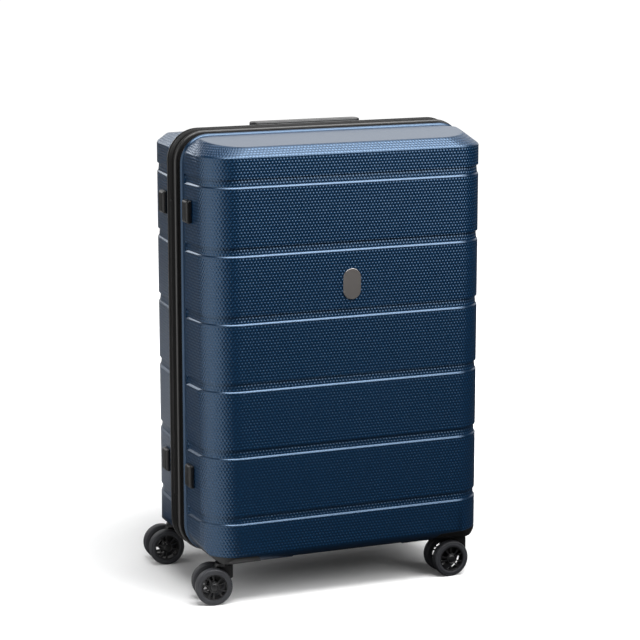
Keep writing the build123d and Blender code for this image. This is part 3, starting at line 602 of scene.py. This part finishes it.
# Zip: two rows of nylon teeth on the facing edges of the ribbons, all round except along the fabric hinge.
# Each tooth is a small rounded block, and the rows meet in the gap between the ribbons.
tooth_pitch = 3.0 * mm
tooth_length = 2.0 * mm
tooth_height = 3.4 * mm
tooth_round = 0.45 * mm
hinge_low, hinge_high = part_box("hinge_tape")
hinge_margin = 3 * mm

# Moulded nylon: black and satin, with a gloss that changes a little from tooth to tooth.
nylon, tree, shader = finish("moulded nylon, black", "#151515", {"Roughness": 0.42, "IOR": 1.53})
place = add(tree, "TexCoord", {}).outputs["Object"]
worn = add(tree, "TexNoise", {"Vector": place, "Scale": 1 / (2.5 * mm), "Detail": 2.0})
rough = add(tree, "MapRange", {"Value": worn.outputs["Fac"], "To Min": 0.34, "To Max": 0.52}).outputs[0]
tree.links.new(rough, shader.inputs["Roughness"])

line = rim_line()
path = [(vert.co.copy(), out, run) for vert, out, run in stations(line)]
line.free()
zip_length = path[-1][2] + (path[0][0] - path[-1][0]).length
path.append((path[0][0], path[0][1], zip_length))
tooth_count = int(zip_length / tooth_pitch)
for name in ("front", "back"):
    low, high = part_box(name + "_zip_teeth")
    block = bmesh.new()
    bmesh.ops.create_cube(block, size=1.0)
    bmesh.ops.scale(block, vec=(tooth_length, high[1] - low[1], tooth_height), verts=block.verts)
    bevelled(block, block.edges[:], tooth_round, 1)
    tooth = bpy.data.meshes.new("tooth")
    block.to_mesh(tooth)
    block.free()
    row = bmesh.new()
    segment = 0
    for index in range(tooth_count):
        run = (index + 0.5) * zip_length / tooth_count
        while path[segment + 1][2] < run:
            segment += 1
        (a, out_a, run_a), (b, out_b, run_b) = path[segment], path[segment + 1]
        share = (run - run_a) / (run_b - run_a)
        out = out_a.lerp(out_b, share).normalized()
        spot = a.lerp(b, share) + out * (high[0] - rim_half - tooth_height / 2)
        at_hinge = hinge_low[2] - hinge_margin < spot.z < hinge_high[2] + hinge_margin
        if at_hinge and spot.x < -rim_half / 2:
            continue
        spot.y = (low[1] + high[1]) / 2
        turn = Matrix((Vector((out.z, 0, -out.x)), Vector((0, 1, 0)), out)).transposed().to_4x4()
        known = len(row.verts)
        row.from_mesh(tooth)
        row.verts.ensure_lookup_table()
        bmesh.ops.transform(row, matrix=Matrix.Translation(spot) @ turn, verts=row.verts[known:])
    bpy.data.meshes.remove(tooth)
    bmesh.ops.recalc_face_normals(row, faces=row.faces)
    piece(name + "_teeth", row, name + "_half", "zip_teeth", nylon, name + "_zip_teeth")


# Hinge: a strip of the same tape down the left side, sewn to both ribbons, with a soft fold over the gap.
tape_lift = 0.45 * mm
tape_face = -(rim_half + ribbon_proud) - tape_lift
tape_thickness = 0.9 * mm
tape_reach_front = 5 * mm
tape_reach_back = 14 * mm
tape_rows = 40
fold_bulge = 2.6 * mm
hinge_length = hinge_high[2] - hinge_low[2]
fold_half = [(0.2, 0.75), (0.4, 0.3), (0.72, 0.25), (1.0, 0)]
fold_section = [(-share, rise) for share, rise in reversed(fold_half)] + [(0, 1)] + fold_half
strip = bmesh.new()
row = []
for share, rise in fold_section:
    reach = tape_reach_front if share < 0 else tape_reach_back
    row.append(strip.verts.new((tape_face - rise * fold_bulge, zip_middle + share * reach, hinge_low[2])))
edges = [strip.edges.new(pair) for pair in zip(row, row[1:])]
made = bmesh.ops.extrude_edge_only(strip, edges=edges)["geom"]
raised = [g for g in made if isinstance(g, bmesh.types.BMVert)]
bmesh.ops.translate(strip, vec=(0, 0, hinge_length), verts=raised)
upright = [e for e in strip.edges if abs(e.verts[0].co.z - e.verts[1].co.z) > hinge_length / 2]
bmesh.ops.subdivide_edges(strip, edges=upright, cuts=tape_rows, use_grid_fill=True)
bmesh.ops.recalc_face_normals(strip, faces=strip.faces)
if strip.faces[0].normal.x > 0:
    bmesh.ops.reverse_faces(strip, faces=strip.faces)
bmesh.ops.solidify(strip, geom=strip.faces[:], thickness=tape_thickness)
layer = strip.loops.layers.uv.new("weave")
for face in strip.faces:
    for loop in face.loops:
        loop[layer].uv = (loop.vert.co.z, loop.vert.co.y)
hinge = piece("hinge_strip", strip, None, "ribbon", tape, "hinge_tape")
fold = hinge.modifiers.new("soft fold", "SUBSURF")
fold.levels = 1
fold.render_levels = 1
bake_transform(hinge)


# Moulded black pieces: side feet, handles, sockets, trolley tray, grip and bracket, lock and buckle.
# They are polypropylene, and come out of the mould with small rounded edges and a fine spark-eroded grain.
foot_round = 2.4 * mm
edge_round = 0.8 * mm
socket_round = 0.6 * mm
lock_round = 0.5 * mm
round_from = 28
spark_grain = 0.7 * mm


def round_edges(made, width, angle=round_from, segments=3):
    """Rounds every edge sharper than an angle in degrees, and keeps the flats flat in the shading."""
    bevel = made.modifiers.new("rounded edges", "BEVEL")
    bevel.width = width
    bevel.segments = segments
    bevel.limit_method = "ANGLE"
    bevel.angle_limit = radians(angle)
    bevel.profile = 0.5
    bevel.use_clamp_overlap = True
    keep_flats(made)


# Polypropylene, black: satin, with a fine grain that breaks up its highlights.
# The grain is drawn coarser than the real one, so that it shows.
black_plastic, tree, shader = finish(
    "polypropylene, black, fine grain",
    "#0d0d0e",
    {"Roughness": 0.38, "IOR": 1.5},
)
place = add(tree, "TexCoord", {}).outputs["Object"]
grain = add(tree, "TexNoise", {"Vector": place, "Scale": 1 / spark_grain, "Detail": 3.0, "Roughness": 0.6})
bump = add(tree, "Bump", {"Strength": 0.25, "Distance": 0.08 * mm, "Height": grain.outputs["Fac"]})
tree.links.new(bump.outputs[0], shader.inputs["Normal"])
cloud = add(tree, "TexNoise", {"Vector": place, "Scale": 1 / (18 * mm), "Detail": 2.0})
rough = add(tree, "MapRange", {"Value": cloud.outputs["Fac"], "To Min": 0.3, "To Max": 0.44}).outputs[0]
tree.links.new(rough, shader.inputs["Roughness"])

for node, body, width in (
    ("front_side_feet", "front_half", foot_round),
    ("back_side_feet", "back_half", foot_round),
    ("trolley_tray", "back_half", edge_round),
    ("trolley_bracket", "back_half", edge_round),
    ("trolley_grip", "trolley_inner", edge_round),
    ("top_handle_grip", "top_handle", edge_round),
    ("top_handle_sockets", "back_half", socket_round),
    ("side_handle_grip", "side_handle", edge_round),
    ("side_handle_sockets", "back_half", socket_round),
    ("lock_body", "back_half", lock_round),
    ("strap_buckle", "back_half", edge_round),
):
    round_edges(piece(node + "_moulding", welded(node), body, "black_plastic", black_plastic, node), width)


# Caster corners: thick mouldings of the same polypropylene round the lower corners, screwed on from inside.
# They stand a little proud of the shell all round and have soft edges.
corner_proud = 0.9 * mm
corner_round = 1.4 * mm
corner_weld = 1 * mm
corner_flat_angle = radians(2)
corner_angle = radians(40)
for half in ("front", "back"):
    shell_low, shell_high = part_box(half + "_shell")
    inside = Vector((0, (shell_low[1] + shell_high[1]) / 2, shell_middle))
    for side in ("left", "right"):
        node = "caster_housing_" + half + "_" + side
        corner = welded(node)
        bmesh.ops.dissolve_limit(
            corner,
            angle_limit=corner_flat_angle,
            verts=corner.verts,
            edges=corner.edges,
        )
        bmesh.ops.remove_doubles(corner, verts=corner.verts, dist=corner_weld)
        corner.normal_update()
        grown = []
        for vert in corner.verts:
            if any(looks_away(f, inside) for f in vert.link_faces):
                grown.append((vert, vert.normal * corner_proud))
        for vert, push in grown:
            vert.co += push
        corner.normal_update()
        chosen = []
        for edge in corner.edges:
            outside = all(looks_away(f, inside) for f in edge.link_faces)
            if outside and edge.is_convex and edge.calc_face_angle(0) > corner_angle:
                chosen.append(edge)
        bevelled(corner, chosen, corner_round)
        mark_sharp(corner)
        made = piece(node + "_moulding", corner, half + "_half", "black_plastic", black_plastic, node)
        keep_flats(made)


# Casters: a glass-filled nylon fork turns on a steel pin and carries two wheels on one axle.
# Each wheel is a spoked nylon rim with a cap, in a tyre of soft polyurethane.
tyre_radius = 30 * mm
tyre_inner = 21 * mm
tyre_width = 15 * mm
tyre_spacing = 35 * mm
tyre_steps = 96
tyre_weld = 0.01 * mm
half_tyre = tyre_width / 2
rim_round = 0.35 * mm
fork_round = 0.9 * mm
caster_round_from = 40

# Glass-filled nylon: near black, satin, with a faint cloudiness from the fibres.
caster_nylon, tree, shader = finish(
    "glass-filled nylon, black",
    "#101012",
    {"Roughness": 0.36, "IOR": 1.53},
)
place = add(tree, "TexCoord", {}).outputs["Object"]
fibres = add(tree, "TexNoise", {"Vector": place, "Scale": 1 / (1.2 * mm), "Detail": 4.0})
rough = add(tree, "MapRange", {"Value": fibres.outputs["Fac"], "To Min": 0.32, "To Max": 0.5}).outputs[0]
tree.links.new(rough, shader.inputs["Roughness"])
bump = add(tree, "Bump", {"Strength": 0.15, "Distance": 0.05 * mm, "Height": fibres.outputs["Fac"]})
tree.links.new(bump.outputs[0], shader.inputs["Normal"])

# Polyurethane: dark grey and dull, with faint lighter scuffs.
polyurethane, tree, shader = finish("polyurethane, dark grey", "#17181a", {"Roughness": 0.58, "IOR": 1.5})
place = add(tree, "TexCoord", {}).outputs["Object"]
scuff = add(tree, "TexNoise", {"Vector": place, "Scale": 1 / (3.5 * mm), "Detail": 4.0, "Roughness": 0.65})
tone = add(tree, "ValToRGB", {"Fac": scuff.outputs["Fac"]})
tone.color_ramp.elements[0].color = linear("#26272a")
tone.color_ramp.elements[1].color = linear("#34353a")
tree.links.new(tone.outputs[0], shader.inputs["Base Color"])
bump = add(tree, "Bump", {"Strength": 0.2, "Distance": 0.08 * mm, "Height": scuff.outputs["Fac"]})
tree.links.new(bump.outputs[0], shader.inputs["Normal"])

# Zinc-plated steel, for axles, pins, screws and a spring: bright, with a gloss that varies in spangles.
steel, tree, shader = finish("zinc-plated steel", "#a9abae", {"Roughness": 0.34, "Metallic": 1.0})
place = add(tree, "TexCoord", {}).outputs["Object"]
spangle = add(tree, "TexNoise", {"Vector": place, "Scale": 1 / (1.5 * mm), "Detail": 3.0})
rough = add(tree, "MapRange", {"Value": spangle.outputs["Fac"], "To Min": 0.26, "To Max": 0.44}).outputs[0]
tree.links.new(rough, shader.inputs["Roughness"])

tyre_section = [
    (tyre_inner, -half_tyre + 0.4 * mm),
    (tyre_inner + 0.5 * mm, -half_tyre),
    (tyre_inner + 5.2 * mm, -half_tyre),
    (tyre_inner + 5.5 * mm, -half_tyre + 0.25 * mm),
    (tyre_inner + 5.8 * mm, -half_tyre),
    (tyre_radius - 2.0 * mm, -half_tyre + 0.25 * mm),
    (tyre_radius - 0.9 * mm, -half_tyre + 0.9 * mm),
    (tyre_radius - 0.25 * mm, -half_tyre + 2.0 * mm),
    (tyre_radius, -half_tyre + 3.4 * mm),
]
tyre_section += [(radius, -depth) for radius, depth in reversed(tyre_section)]
cap_section = [
    (8.6 * mm, -0.9 * mm),
    (8.5 * mm, -0.3 * mm),
    (8.1 * mm, 0.1 * mm),
    (7.5 * mm, 0.1 * mm),
    (7.1 * mm, -0.2 * mm),
    (6.9 * mm, -0.7 * mm),
    (6.2 * mm, -0.7 * mm),
    (6.0 * mm, -0.2 * mm),
    (5.4 * mm, 0.3 * mm),
    (3.4 * mm, 0.7 * mm),
    (0, 0.9 * mm),
]


def turned(bm, section, closed):
    """Spins a section of (radius, depth) points a full turn round Y."""
    loop = [bm.verts.new((radius, depth, 0)) for radius, depth in section]
    chain = [bm.edges.new(pair) for pair in zip(loop, loop[1:])]
    if closed:
        chain.append(bm.edges.new((loop[-1], loop[0])))
    bmesh.ops.spin(
        bm,
        geom=loop + chain,
        cent=(0, 0, 0),
        axis=(0, 1, 0),
        angle=2 * pi,
        steps=tyre_steps,
        use_merge=True,
    )


def coat(node, material):
    """Gives a CAD node that is shown as it is its material."""
    coats = frame["nodes"][node].data.materials
    coats.clear()
    coats.append(material)


joint_of = {joint["child"]: joint for joint in frame["record"]["behaviour"]["joints"]}
for corner_name in ("front_left", "front_right", "back_left", "back_right"):
    body = "wheels_" + corner_name
    centre = Vector(joint_of[body]["pos_m"])
    axle = Vector(joint_of[body]["axis"]).normalized()
    flat = Matrix((axle.cross(Vector((0, 0, 1))), axle, Vector((0, 0, 1)))).transposed().to_4x4()
    tyres = bmesh.new()
    caps = bmesh.new()
    for side in (-1, 1):
        middle = side * tyre_spacing / 2
        face = middle + side * half_tyre
        turned(tyres, [(radius, depth + middle) for radius, depth in tyre_section], True)
        turned(caps, [(radius, face + side * depth) for radius, depth in cap_section], False)
    for made in (tyres, caps):
        bmesh.ops.remove_doubles(made, verts=made.verts, dist=tyre_weld)
        bmesh.ops.recalc_face_normals(made, faces=made.faces)
        bmesh.ops.transform(made, matrix=Matrix.Translation(centre) @ flat, verts=made.verts)
    tyre_node = "wheel_tyres_" + corner_name
    rim_node = "wheel_rims_" + corner_name
    fork_node = "caster_fork_" + corner_name
    swivel = "swivel_" + corner_name
    piece("tyres_" + corner_name, tyres, body, "tyre", polyurethane, tyre_node)
    piece("hub_caps_" + corner_name, caps, body, "caster_plastic", caster_nylon, rim_node)
    rims = piece("rims_" + corner_name, welded(rim_node), body, "caster_plastic", caster_nylon, rim_node)
    round_edges(rims, rim_round, caster_round_from, 2)
    fork = piece("fork_" + corner_name, welded(fork_node), swivel, "caster_plastic", caster_nylon, fork_node)
    round_edges(fork, fork_round, caster_round_from)
    coat("wheel_axle_" + corner_name, steel)
coat("front_caster_fixings", steel)
coat("back_caster_fixings", steel)


# Trolley: three nested pairs of drawn aluminium tubes with release rods inside them, under the moulded grip.
# A steel spring under the grip brings the button back up.
brush_length = 40 * mm
brush_width = 0.35 * mm

# Anodised aluminium: satin silver, drawn lengthwise, so its fine lines run up the tube.
aluminium, tree, shader = finish(
    "anodised aluminium, drawn",
    "#8f9296",
    {"Roughness": 0.32, "Metallic": 1.0},
)
place = add(tree, "TexCoord", {}).outputs["Object"]
stretch = (1 / brush_width, 1 / brush_width, 1 / brush_length)
stretched = add(tree, "Mapping", {"Vector": place, "Scale": stretch}).outputs[0]
lines = add(tree, "TexNoise", {"Vector": stretched, "Scale": 1.0, "Detail": 3.0})
rough = add(tree, "MapRange", {"Value": lines.outputs["Fac"], "To Min": 0.24, "To Max": 0.42}).outputs[0]
tree.links.new(rough, shader.inputs["Roughness"])
bump = add(tree, "Bump", {"Strength": 0.12, "Distance": 0.03 * mm, "Height": lines.outputs["Fac"]})
tree.links.new(bump.outputs[0], shader.inputs["Normal"])
for node in ("trolley_outer_tubes", "trolley_middle_tubes", "trolley_inner_tubes", "release_rods"):
    coat(node, aluminium)

# The button's return spring, between the grip and the rods, is zinc-plated steel and gets a mesh of its own.
spring = frame["nodes"]["button_spring"]
coat("button_spring", steel)
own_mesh(spring)


# Buttons and lock dials: moulded in a dark grey ABS. The buttons sit in the trolley's grip and in the lock.
# The three dials turn one above the other on one pin, and each has ten flats to turn it by.
button_round = 0.5 * mm
dial_flats = 10
dial_notch = 0.5 * mm
dial_round = 0.3 * mm
dial_steps = 4 * dial_flats

# ABS, dark grey: satin, smoother than the black mouldings.
grey_plastic, tree, shader = finish("ABS, dark grey", "#3a3b3e", {"Roughness": 0.38, "IOR": 1.54})
place = add(tree, "TexCoord", {}).outputs["Object"]
cloud = add(tree, "TexNoise", {"Vector": place, "Scale": 1 / (0.9 * mm), "Detail": 2.0})
bump = add(tree, "Bump", {"Strength": 0.15, "Distance": 0.04 * mm, "Height": cloud.outputs["Fac"]})
tree.links.new(bump.outputs[0], shader.inputs["Normal"])
for node, body in (("trolley_button", "trolley_release"), ("lock_release", "lock_push")):
    round_edges(piece(node + "_cap", welded(node), body, "button", grey_plastic, node), button_round)

for number in ("1", "2", "3"):
    node = "lock_dial_" + number
    low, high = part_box(node)
    middle = (Vector(low) + Vector(high)) / 2
    radius = (high[0] - low[0]) / 2
    wheel = bmesh.new()
    bmesh.ops.create_cone(
        wheel,
        cap_ends=True,
        segments=dial_steps,
        radius1=radius,
        radius2=radius,
        depth=high[2] - low[2],
    )
    for vert in wheel.verts:
        turn = atan2(vert.co.y, vert.co.x) * dial_flats
        inward = 1 - dial_notch / radius * max(0.0, cos(turn)) ** 2
        vert.co.x *= inward
        vert.co.y *= inward
    bmesh.ops.translate(wheel, vec=middle, verts=wheel.verts)
    dial = piece("dial_wheel_" + number, wheel, "dial_" + number, "dial", grey_plastic, node)
    round_edges(dial, dial_round)


# Zip sliders and pulls: small castings with a dark plated finish.
# The sliders run on the teeth, and each pull swings on its slider.
casting_round = 0.35 * mm
casting_round_from = 40

# Die-cast zinc, plated: a dark metal shine, a little uneven from tumbling.
gunmetal, tree, shader = finish(
    "die-cast zinc, gunmetal plated",
    "#4b4c50",
    {"Roughness": 0.3, "Metallic": 1.0},
)
place = add(tree, "TexCoord", {}).outputs["Object"]
tumble = add(tree, "TexNoise", {"Vector": place, "Scale": 1 / (1.0 * mm), "Detail": 2.0})
rough = add(tree, "MapRange", {"Value": tumble.outputs["Fac"], "To Min": 0.22, "To Max": 0.4}).outputs[0]
tree.links.new(rough, shader.inputs["Roughness"])
for level in ("upper", "lower"):
    for node, body in (("zip_slider_" + level, "zip_" + level), ("zip_pull_" + level, "pull_" + level)):
        casting = piece(node + "_cast", welded(node), body, "zip_metal", gunmetal, node)
        round_edges(casting, casting_round, casting_round_from, 2)


# Badge: a plain slot-shaped plate of brushed metal, bonded to the front.
# Its edges are rounded by the press that cuts it.
badge_round = 0.7 * mm
badge_brush_length = 12 * mm
badge_brush_width = 0.4 * mm

# Brushed zinc: a soft grey shine, drawn out sideways by the brush lines across the plate.
badge_metal, tree, shader = finish("brushed zinc badge", "#a09b98", {"Roughness": 0.35, "Metallic": 0.9})
place = add(tree, "TexCoord", {}).outputs["Object"]
stretch = (1 / badge_brush_length, 1 / badge_brush_width, 1 / badge_brush_width)
stretched = add(tree, "Mapping", {"Vector": place, "Scale": stretch}).outputs[0]
lines = add(tree, "TexNoise", {"Vector": stretched, "Scale": 1.0, "Detail": 2.0})
rough = add(tree, "MapRange", {"Value": lines.outputs["Fac"], "To Min": 0.28, "To Max": 0.45}).outputs[0]
tree.links.new(rough, shader.inputs["Roughness"])
badge = piece("badge_metal", welded("badge_plate"), "front_half", "badge", badge_metal, "badge_plate")
round_edges(badge, badge_round)


# Lining: thin polyester cloth glued into each half, with a panel in front of the trolley tubes.
# It lies a little loose, so it has soft shallow waves.
cloth_grid = 16 * mm
cloth_wave_length = 90 * mm
cloth_thread = 1.6 * mm
front_wave = 2.0 * mm
back_wave = 1.5 * mm
panel_wave = 0.2 * mm


def wavy_cloth(node, wave):
    """A copy of a CAD lining cut into a grid and pushed in waves towards the inside of the case."""
    bm = welded(node)
    low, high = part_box(node)
    centre = (Vector(low) + Vector(high)) / 2
    centre.y = zip_middle
    for axis in range(3):
        normal = Vector((0, 0, 0))
        normal[axis] = 1
        count = int((high[axis] - low[axis]) / cloth_grid)
        for index in range(1, count):
            at = Vector(low)
            at[axis] += (high[axis] - low[axis]) * index / count
            cut(bm, at, normal)
    bmesh.ops.recalc_face_normals(bm, faces=bm.faces)
    bm.normal_update()
    pushes = []
    for vert in bm.verts:
        inward = vert.normal if vert.normal.dot(centre - vert.co) > 0 else -vert.normal
        pushes.append(inward * wave * (0.5 + 0.5 * noise.noise(vert.co / cloth_wave_length)))
    for vert, push in zip(bm.verts, pushes):
        vert.co += push
    return bm


# Polyester lining: dark grey and dull, a plain weave, drawn coarser than the real threads so that it shows.
lining_cloth, tree, shader = finish(
    "polyester lining, dark grey",
    "#33363c",
    {"Roughness": 0.8, "Sheen Weight": 0.3},
)
place = add(tree, "TexCoord", {}).outputs["Object"]
turns = (2 * pi / cloth_thread,) * 3
phase = add(tree, "VectorMath", {0: place, 1: turns}, operation="MULTIPLY").outputs[0]
waves = add(tree, "VectorMath", {0: phase}, operation="SINE").outputs[0]
split = add(tree, "SeparateXYZ", {0: waves})
both = add(tree, "Math", {0: split.outputs["X"], 1: split.outputs["Z"]}, operation="MULTIPLY").outputs[0]
weave = add(tree, "Math", {0: both, 1: split.outputs["Y"]}, operation="ADD").outputs[0]
folds = add(tree, "TexNoise", {"Vector": place, "Scale": 1 / cloth_wave_length, "Detail": 2.0}).outputs["Fac"]
raised = add(tree, "Math", {0: folds, 1: 60.0, 2: weave}, operation="MULTIPLY_ADD").outputs[0]
bump = add(tree, "Bump", {"Strength": 0.5, "Distance": 0.12 * mm, "Height": raised})
tree.links.new(bump.outputs[0], shader.inputs["Normal"])
for node, body, wave in (
    ("front_lining", "front_half", front_wave),
    ("back_lining", "back_half", back_wave),
    ("back_panel", "back_half", panel_wave),
):
    piece(node + "_cloth", wavy_cloth(node, wave), body, "lining", lining_cloth, node)


# Packing straps: two lengths of black woven webbing that lie on the back panel and meet in the buckle.
# Their outer ends are sewn into the lining, and they ripple a little on their way.
strap_low, strap_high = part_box("packing_straps")
buckle_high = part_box("strap_buckle")[1]
strap_thickness = 0.7 * mm
strap_sunk = 0.9 * mm
strap_clear = 0.2 * mm
strap_ripple = 0.35 * mm
strap_ripples = 5
webbing_rib = 2.4 * mm
webbing_pick = 1.6 * mm

# Woven webbing: black and dull, with ribs and picks that show as small raised squares.
webbing, tree, shader = finish("woven webbing, black", "#19191a", {"Roughness": 0.75, "Sheen Weight": 0.3})
place = add(tree, "TexCoord", {}).outputs["Object"]
turns = (2 * pi / webbing_rib, 0, 2 * pi / webbing_pick)
phase = add(tree, "VectorMath", {0: place, 1: turns}, operation="MULTIPLY").outputs[0]
waves = add(tree, "VectorMath", {0: phase}, operation="SINE").outputs[0]
split = add(tree, "SeparateXYZ", {0: waves})
weave = add(tree, "Math", {0: split.outputs["X"], 1: split.outputs["Z"]}, operation="MULTIPLY").outputs[0]
bump = add(tree, "Bump", {"Strength": 0.6, "Distance": 0.2 * mm, "Height": weave})
tree.links.new(bump.outputs[0], shader.inputs["Normal"])
straps = bmesh.new()
for side in (-1, 1):
    inner = side * (buckle_high[0] + strap_clear)
    outer = side * strap_high[0]
    made = bmesh.ops.create_grid(straps, x_segments=60, y_segments=6, size=0.5)["verts"]
    bmesh.ops.rotate(straps, cent=(0, 0, 0), matrix=Matrix.Rotation(pi / 2, 3, "X"), verts=made)
    bmesh.ops.scale(straps, vec=(abs(outer - inner), 1, strap_high[2] - strap_low[2]), verts=made)
    middle = Vector(((inner + outer) / 2, strap_high[1] - strap_sunk, (strap_low[2] + strap_high[2]) / 2))
    bmesh.ops.translate(straps, vec=middle, verts=made)
    for vert in made:
        share = (vert.co.x - inner) / (outer - inner)
        vert.co.y -= strap_ripple * sin(share * strap_ripples * pi) ** 2
bmesh.ops.solidify(straps, geom=straps.faces[:], thickness=strap_thickness)
bmesh.ops.recalc_face_normals(straps, faces=straps.faces)
piece("strap_webbing", straps, "back_half", "webbing", webbing, "packing_straps")


# Stage: a plain white floor and a white backdrop behind the case, in a studio that is dark in front.
# Softboxes and strips hang over the case and in front of it, and weaker ones stand at its left and behind it.
stage_size = 30.0
shade_reach = 0.36
white_from = 1.25
shade_middle = (0.12, -0.08, 0)
floor_glow = 0.9
floor_mesh = bmesh.new()
bmesh.ops.create_grid(floor_mesh, x_segments=1, y_segments=1, size=stage_size)
floor_data = bpy.data.meshes.new("floor")
floor_mesh.to_mesh(floor_data)
floor_mesh.free()
floor = bpy.data.objects.new("floor", floor_data)
bpy.context.scene.collection.objects.link(floor)

# Matt white paint: the camera sees it white, with a painted glow that grows away from the case, so that it is
# brightest away from the case and the outer part of the case's shadow is painted lighter. The case itself
# sees a floor painted dull grey, as painted shade for a studio with little front light, and two stretches
# painted light grey as painted light, one behind it and one at its left.
floor_paint, tree, shader = finish(
    "floor, white matt paint",
    "#f4f4f4",
    {"Roughness": 0.9, "Specular IOR Level": 0.0, "Emission Color": (1, 1, 1, 1)},
)
# Painted glow: for camera rays the floor emits light, none near the case and more with distance from a point
# beside it, which whitens the open floor and lightens the edge of the case's shadow.
seen = add(tree, "LightPath", {}).outputs["Is Camera Ray"]
place = add(tree, "TexCoord", {}).outputs["Object"]
distance = add(tree, "VectorMath", {0: place, 1: shade_middle}, operation="DISTANCE").outputs["Value"]
painted_glow_share = add(
    tree,
    "MapRange",
    {"Value": distance, "From Min": shade_reach, "From Max": white_from, "To Min": 0.0, "To Max": floor_glow},
    interpolation_type="SMOOTHSTEP",
).outputs[0]
glow = add(tree, "Math", {0: seen, 1: painted_glow_share}, operation="MULTIPLY").outputs[0]
tree.links.new(glow, shader.inputs["Emission Strength"])
# Painted light and shade, for rays other than the camera's: the floor is painted dull grey as painted shade,
# and light grey in a stretch behind the case and one at its left as painted light, seen in its reflections
# and bounce.
bearing = add(tree, "VectorMath", {0: place}, operation="NORMALIZE").outputs[0]
painted_stretches = []
for heading, start, full in (((-0.22, 0.975, 0), 0.92, 0.985), ((-0.98, -0.2, 0), 0.7, 0.9)):
    towards = add(tree, "VectorMath", {0: bearing, 1: heading}, operation="DOT_PRODUCT").outputs["Value"]
    stretch = add(
        tree,
        "MapRange",
        {"Value": towards, "From Min": start, "From Max": full},
        interpolation_type="SMOOTHSTEP",
    )
    painted_stretches.append(stretch.outputs[0])
painted_light_share = add(tree, "Math", {0: painted_stretches[0], 1: painted_stretches[1]}, operation="MAXIMUM").outputs[0]
painted_shade_grey, painted_light_grey, white = linear("#303030"), linear("#c8c8c8"), linear("#f4f4f4")
painted_light_and_shade = add(tree, "Mix", {0: painted_light_share, 6: painted_shade_grey, 7: painted_light_grey}, data_type="RGBA").outputs[2]
paint = add(tree, "Mix", {0: seen, 6: painted_light_and_shade, 7: white}, data_type="RGBA").outputs[2]
tree.links.new(paint, shader.inputs["Base Color"])
floor_data.materials.append(floor_paint)

# Studio: white to the camera. Reflections show a bright backdrop behind the case and a dark room elsewhere.
room_fill = 0.18
room_front = 0.03
room_backdrop = 0.95
backdrop_heading = (0.45, 0.89, 0)
world = bpy.data.worlds.new("studio")
bpy.context.scene.world = world
world.use_nodes = True
tree = world.node_tree
room = tree.nodes["Background"]
room.inputs["Color"].default_value = (1, 1, 1, 1)
rays = add(tree, "LightPath", {}).outputs
heading = add(tree, "TexCoord", {}).outputs["Generated"]
towards = add(tree, "VectorMath", {0: heading, 1: backdrop_heading}, operation="DOT_PRODUCT").outputs["Value"]
backdrop = add(
    tree,
    "MapRange",
    {"Value": towards, "From Min": 0.5, "From Max": 0.85, "To Min": room_front, "To Max": room_backdrop},
    interpolation_type="SMOOTHSTEP",
).outputs[0]
mirrored = add(
    tree,
    "Math",
    {0: rays["Is Glossy Ray"], 1: rays["Is Transmission Ray"]},
    operation="MAXIMUM",
).outputs[0]
indirect = add(tree, "Mix", {0: mirrored, 2: room_fill, 3: backdrop}).outputs[0]
strength = add(tree, "Mix", {0: rays["Is Camera Ray"], 2: indirect, 3: 1.0}).outputs[0]
tree.links.new(strength, room.inputs["Strength"])

# Each light has its place, the spot that it is turned to and its size in metres, and its power in watts.
case_middle = (0, 0, 0.45)
for name, at, target, size, power in (
    ("softbox overhead", (0.2, -0.35, 2.5), case_middle, (2.8, 2.0), 48),
    ("strip over the front", (0.2, -0.9, 2.5), case_middle, (2.6, 0.9), 58),
    ("softbox high in front", (1.35, -1.9, 1.75), case_middle, (1.8, 1.5), 45),
    ("softbox at the left", (-1.35, -0.3, 0.72), (0, -0.3, 0.72), (2.0, 1.4), 9),
    ("strip behind at the left", (-1.15, 2.6, 1.7), (-0.25, 0, 0.45), (1.0, 0.8), 11),
    ("softbox behind", (1.0, 2.6, 1.9), (0, 0, 0.75), (2.2, 1.0), 4),
):
    lamp = bpy.data.lights.new(name, "AREA")
    lamp.shape = "RECTANGLE"
    lamp.size, lamp.size_y = size
    lamp.energy = power
    light = bpy.data.objects.new(name, lamp)
    light.location = at
    light.rotation_euler = (Vector(target) - Vector(at)).to_track_quat("-Z", "Y").to_euler()
    bpy.context.scene.collection.objects.link(light)

# Camera: a long lens a little above the case and to its left, turned right and down towards it.
camera_turn = 22.58
camera_dip = 11.215
camera_data = bpy.data.cameras.new("camera")
camera_data.lens = 130.7
camera_data.sensor_width = 36
camera = bpy.data.objects.new("camera", camera_data)
camera.location = (-1.4414, -3.489, 1.1714)
camera.rotation_euler = (radians(90 - camera_dip), 0, radians(-camera_turn))
bpy.context.scene.collection.objects.link(camera)
bpy.context.scene.camera = camera
bpy.context.scene.view_settings.view_transform = "Standard"
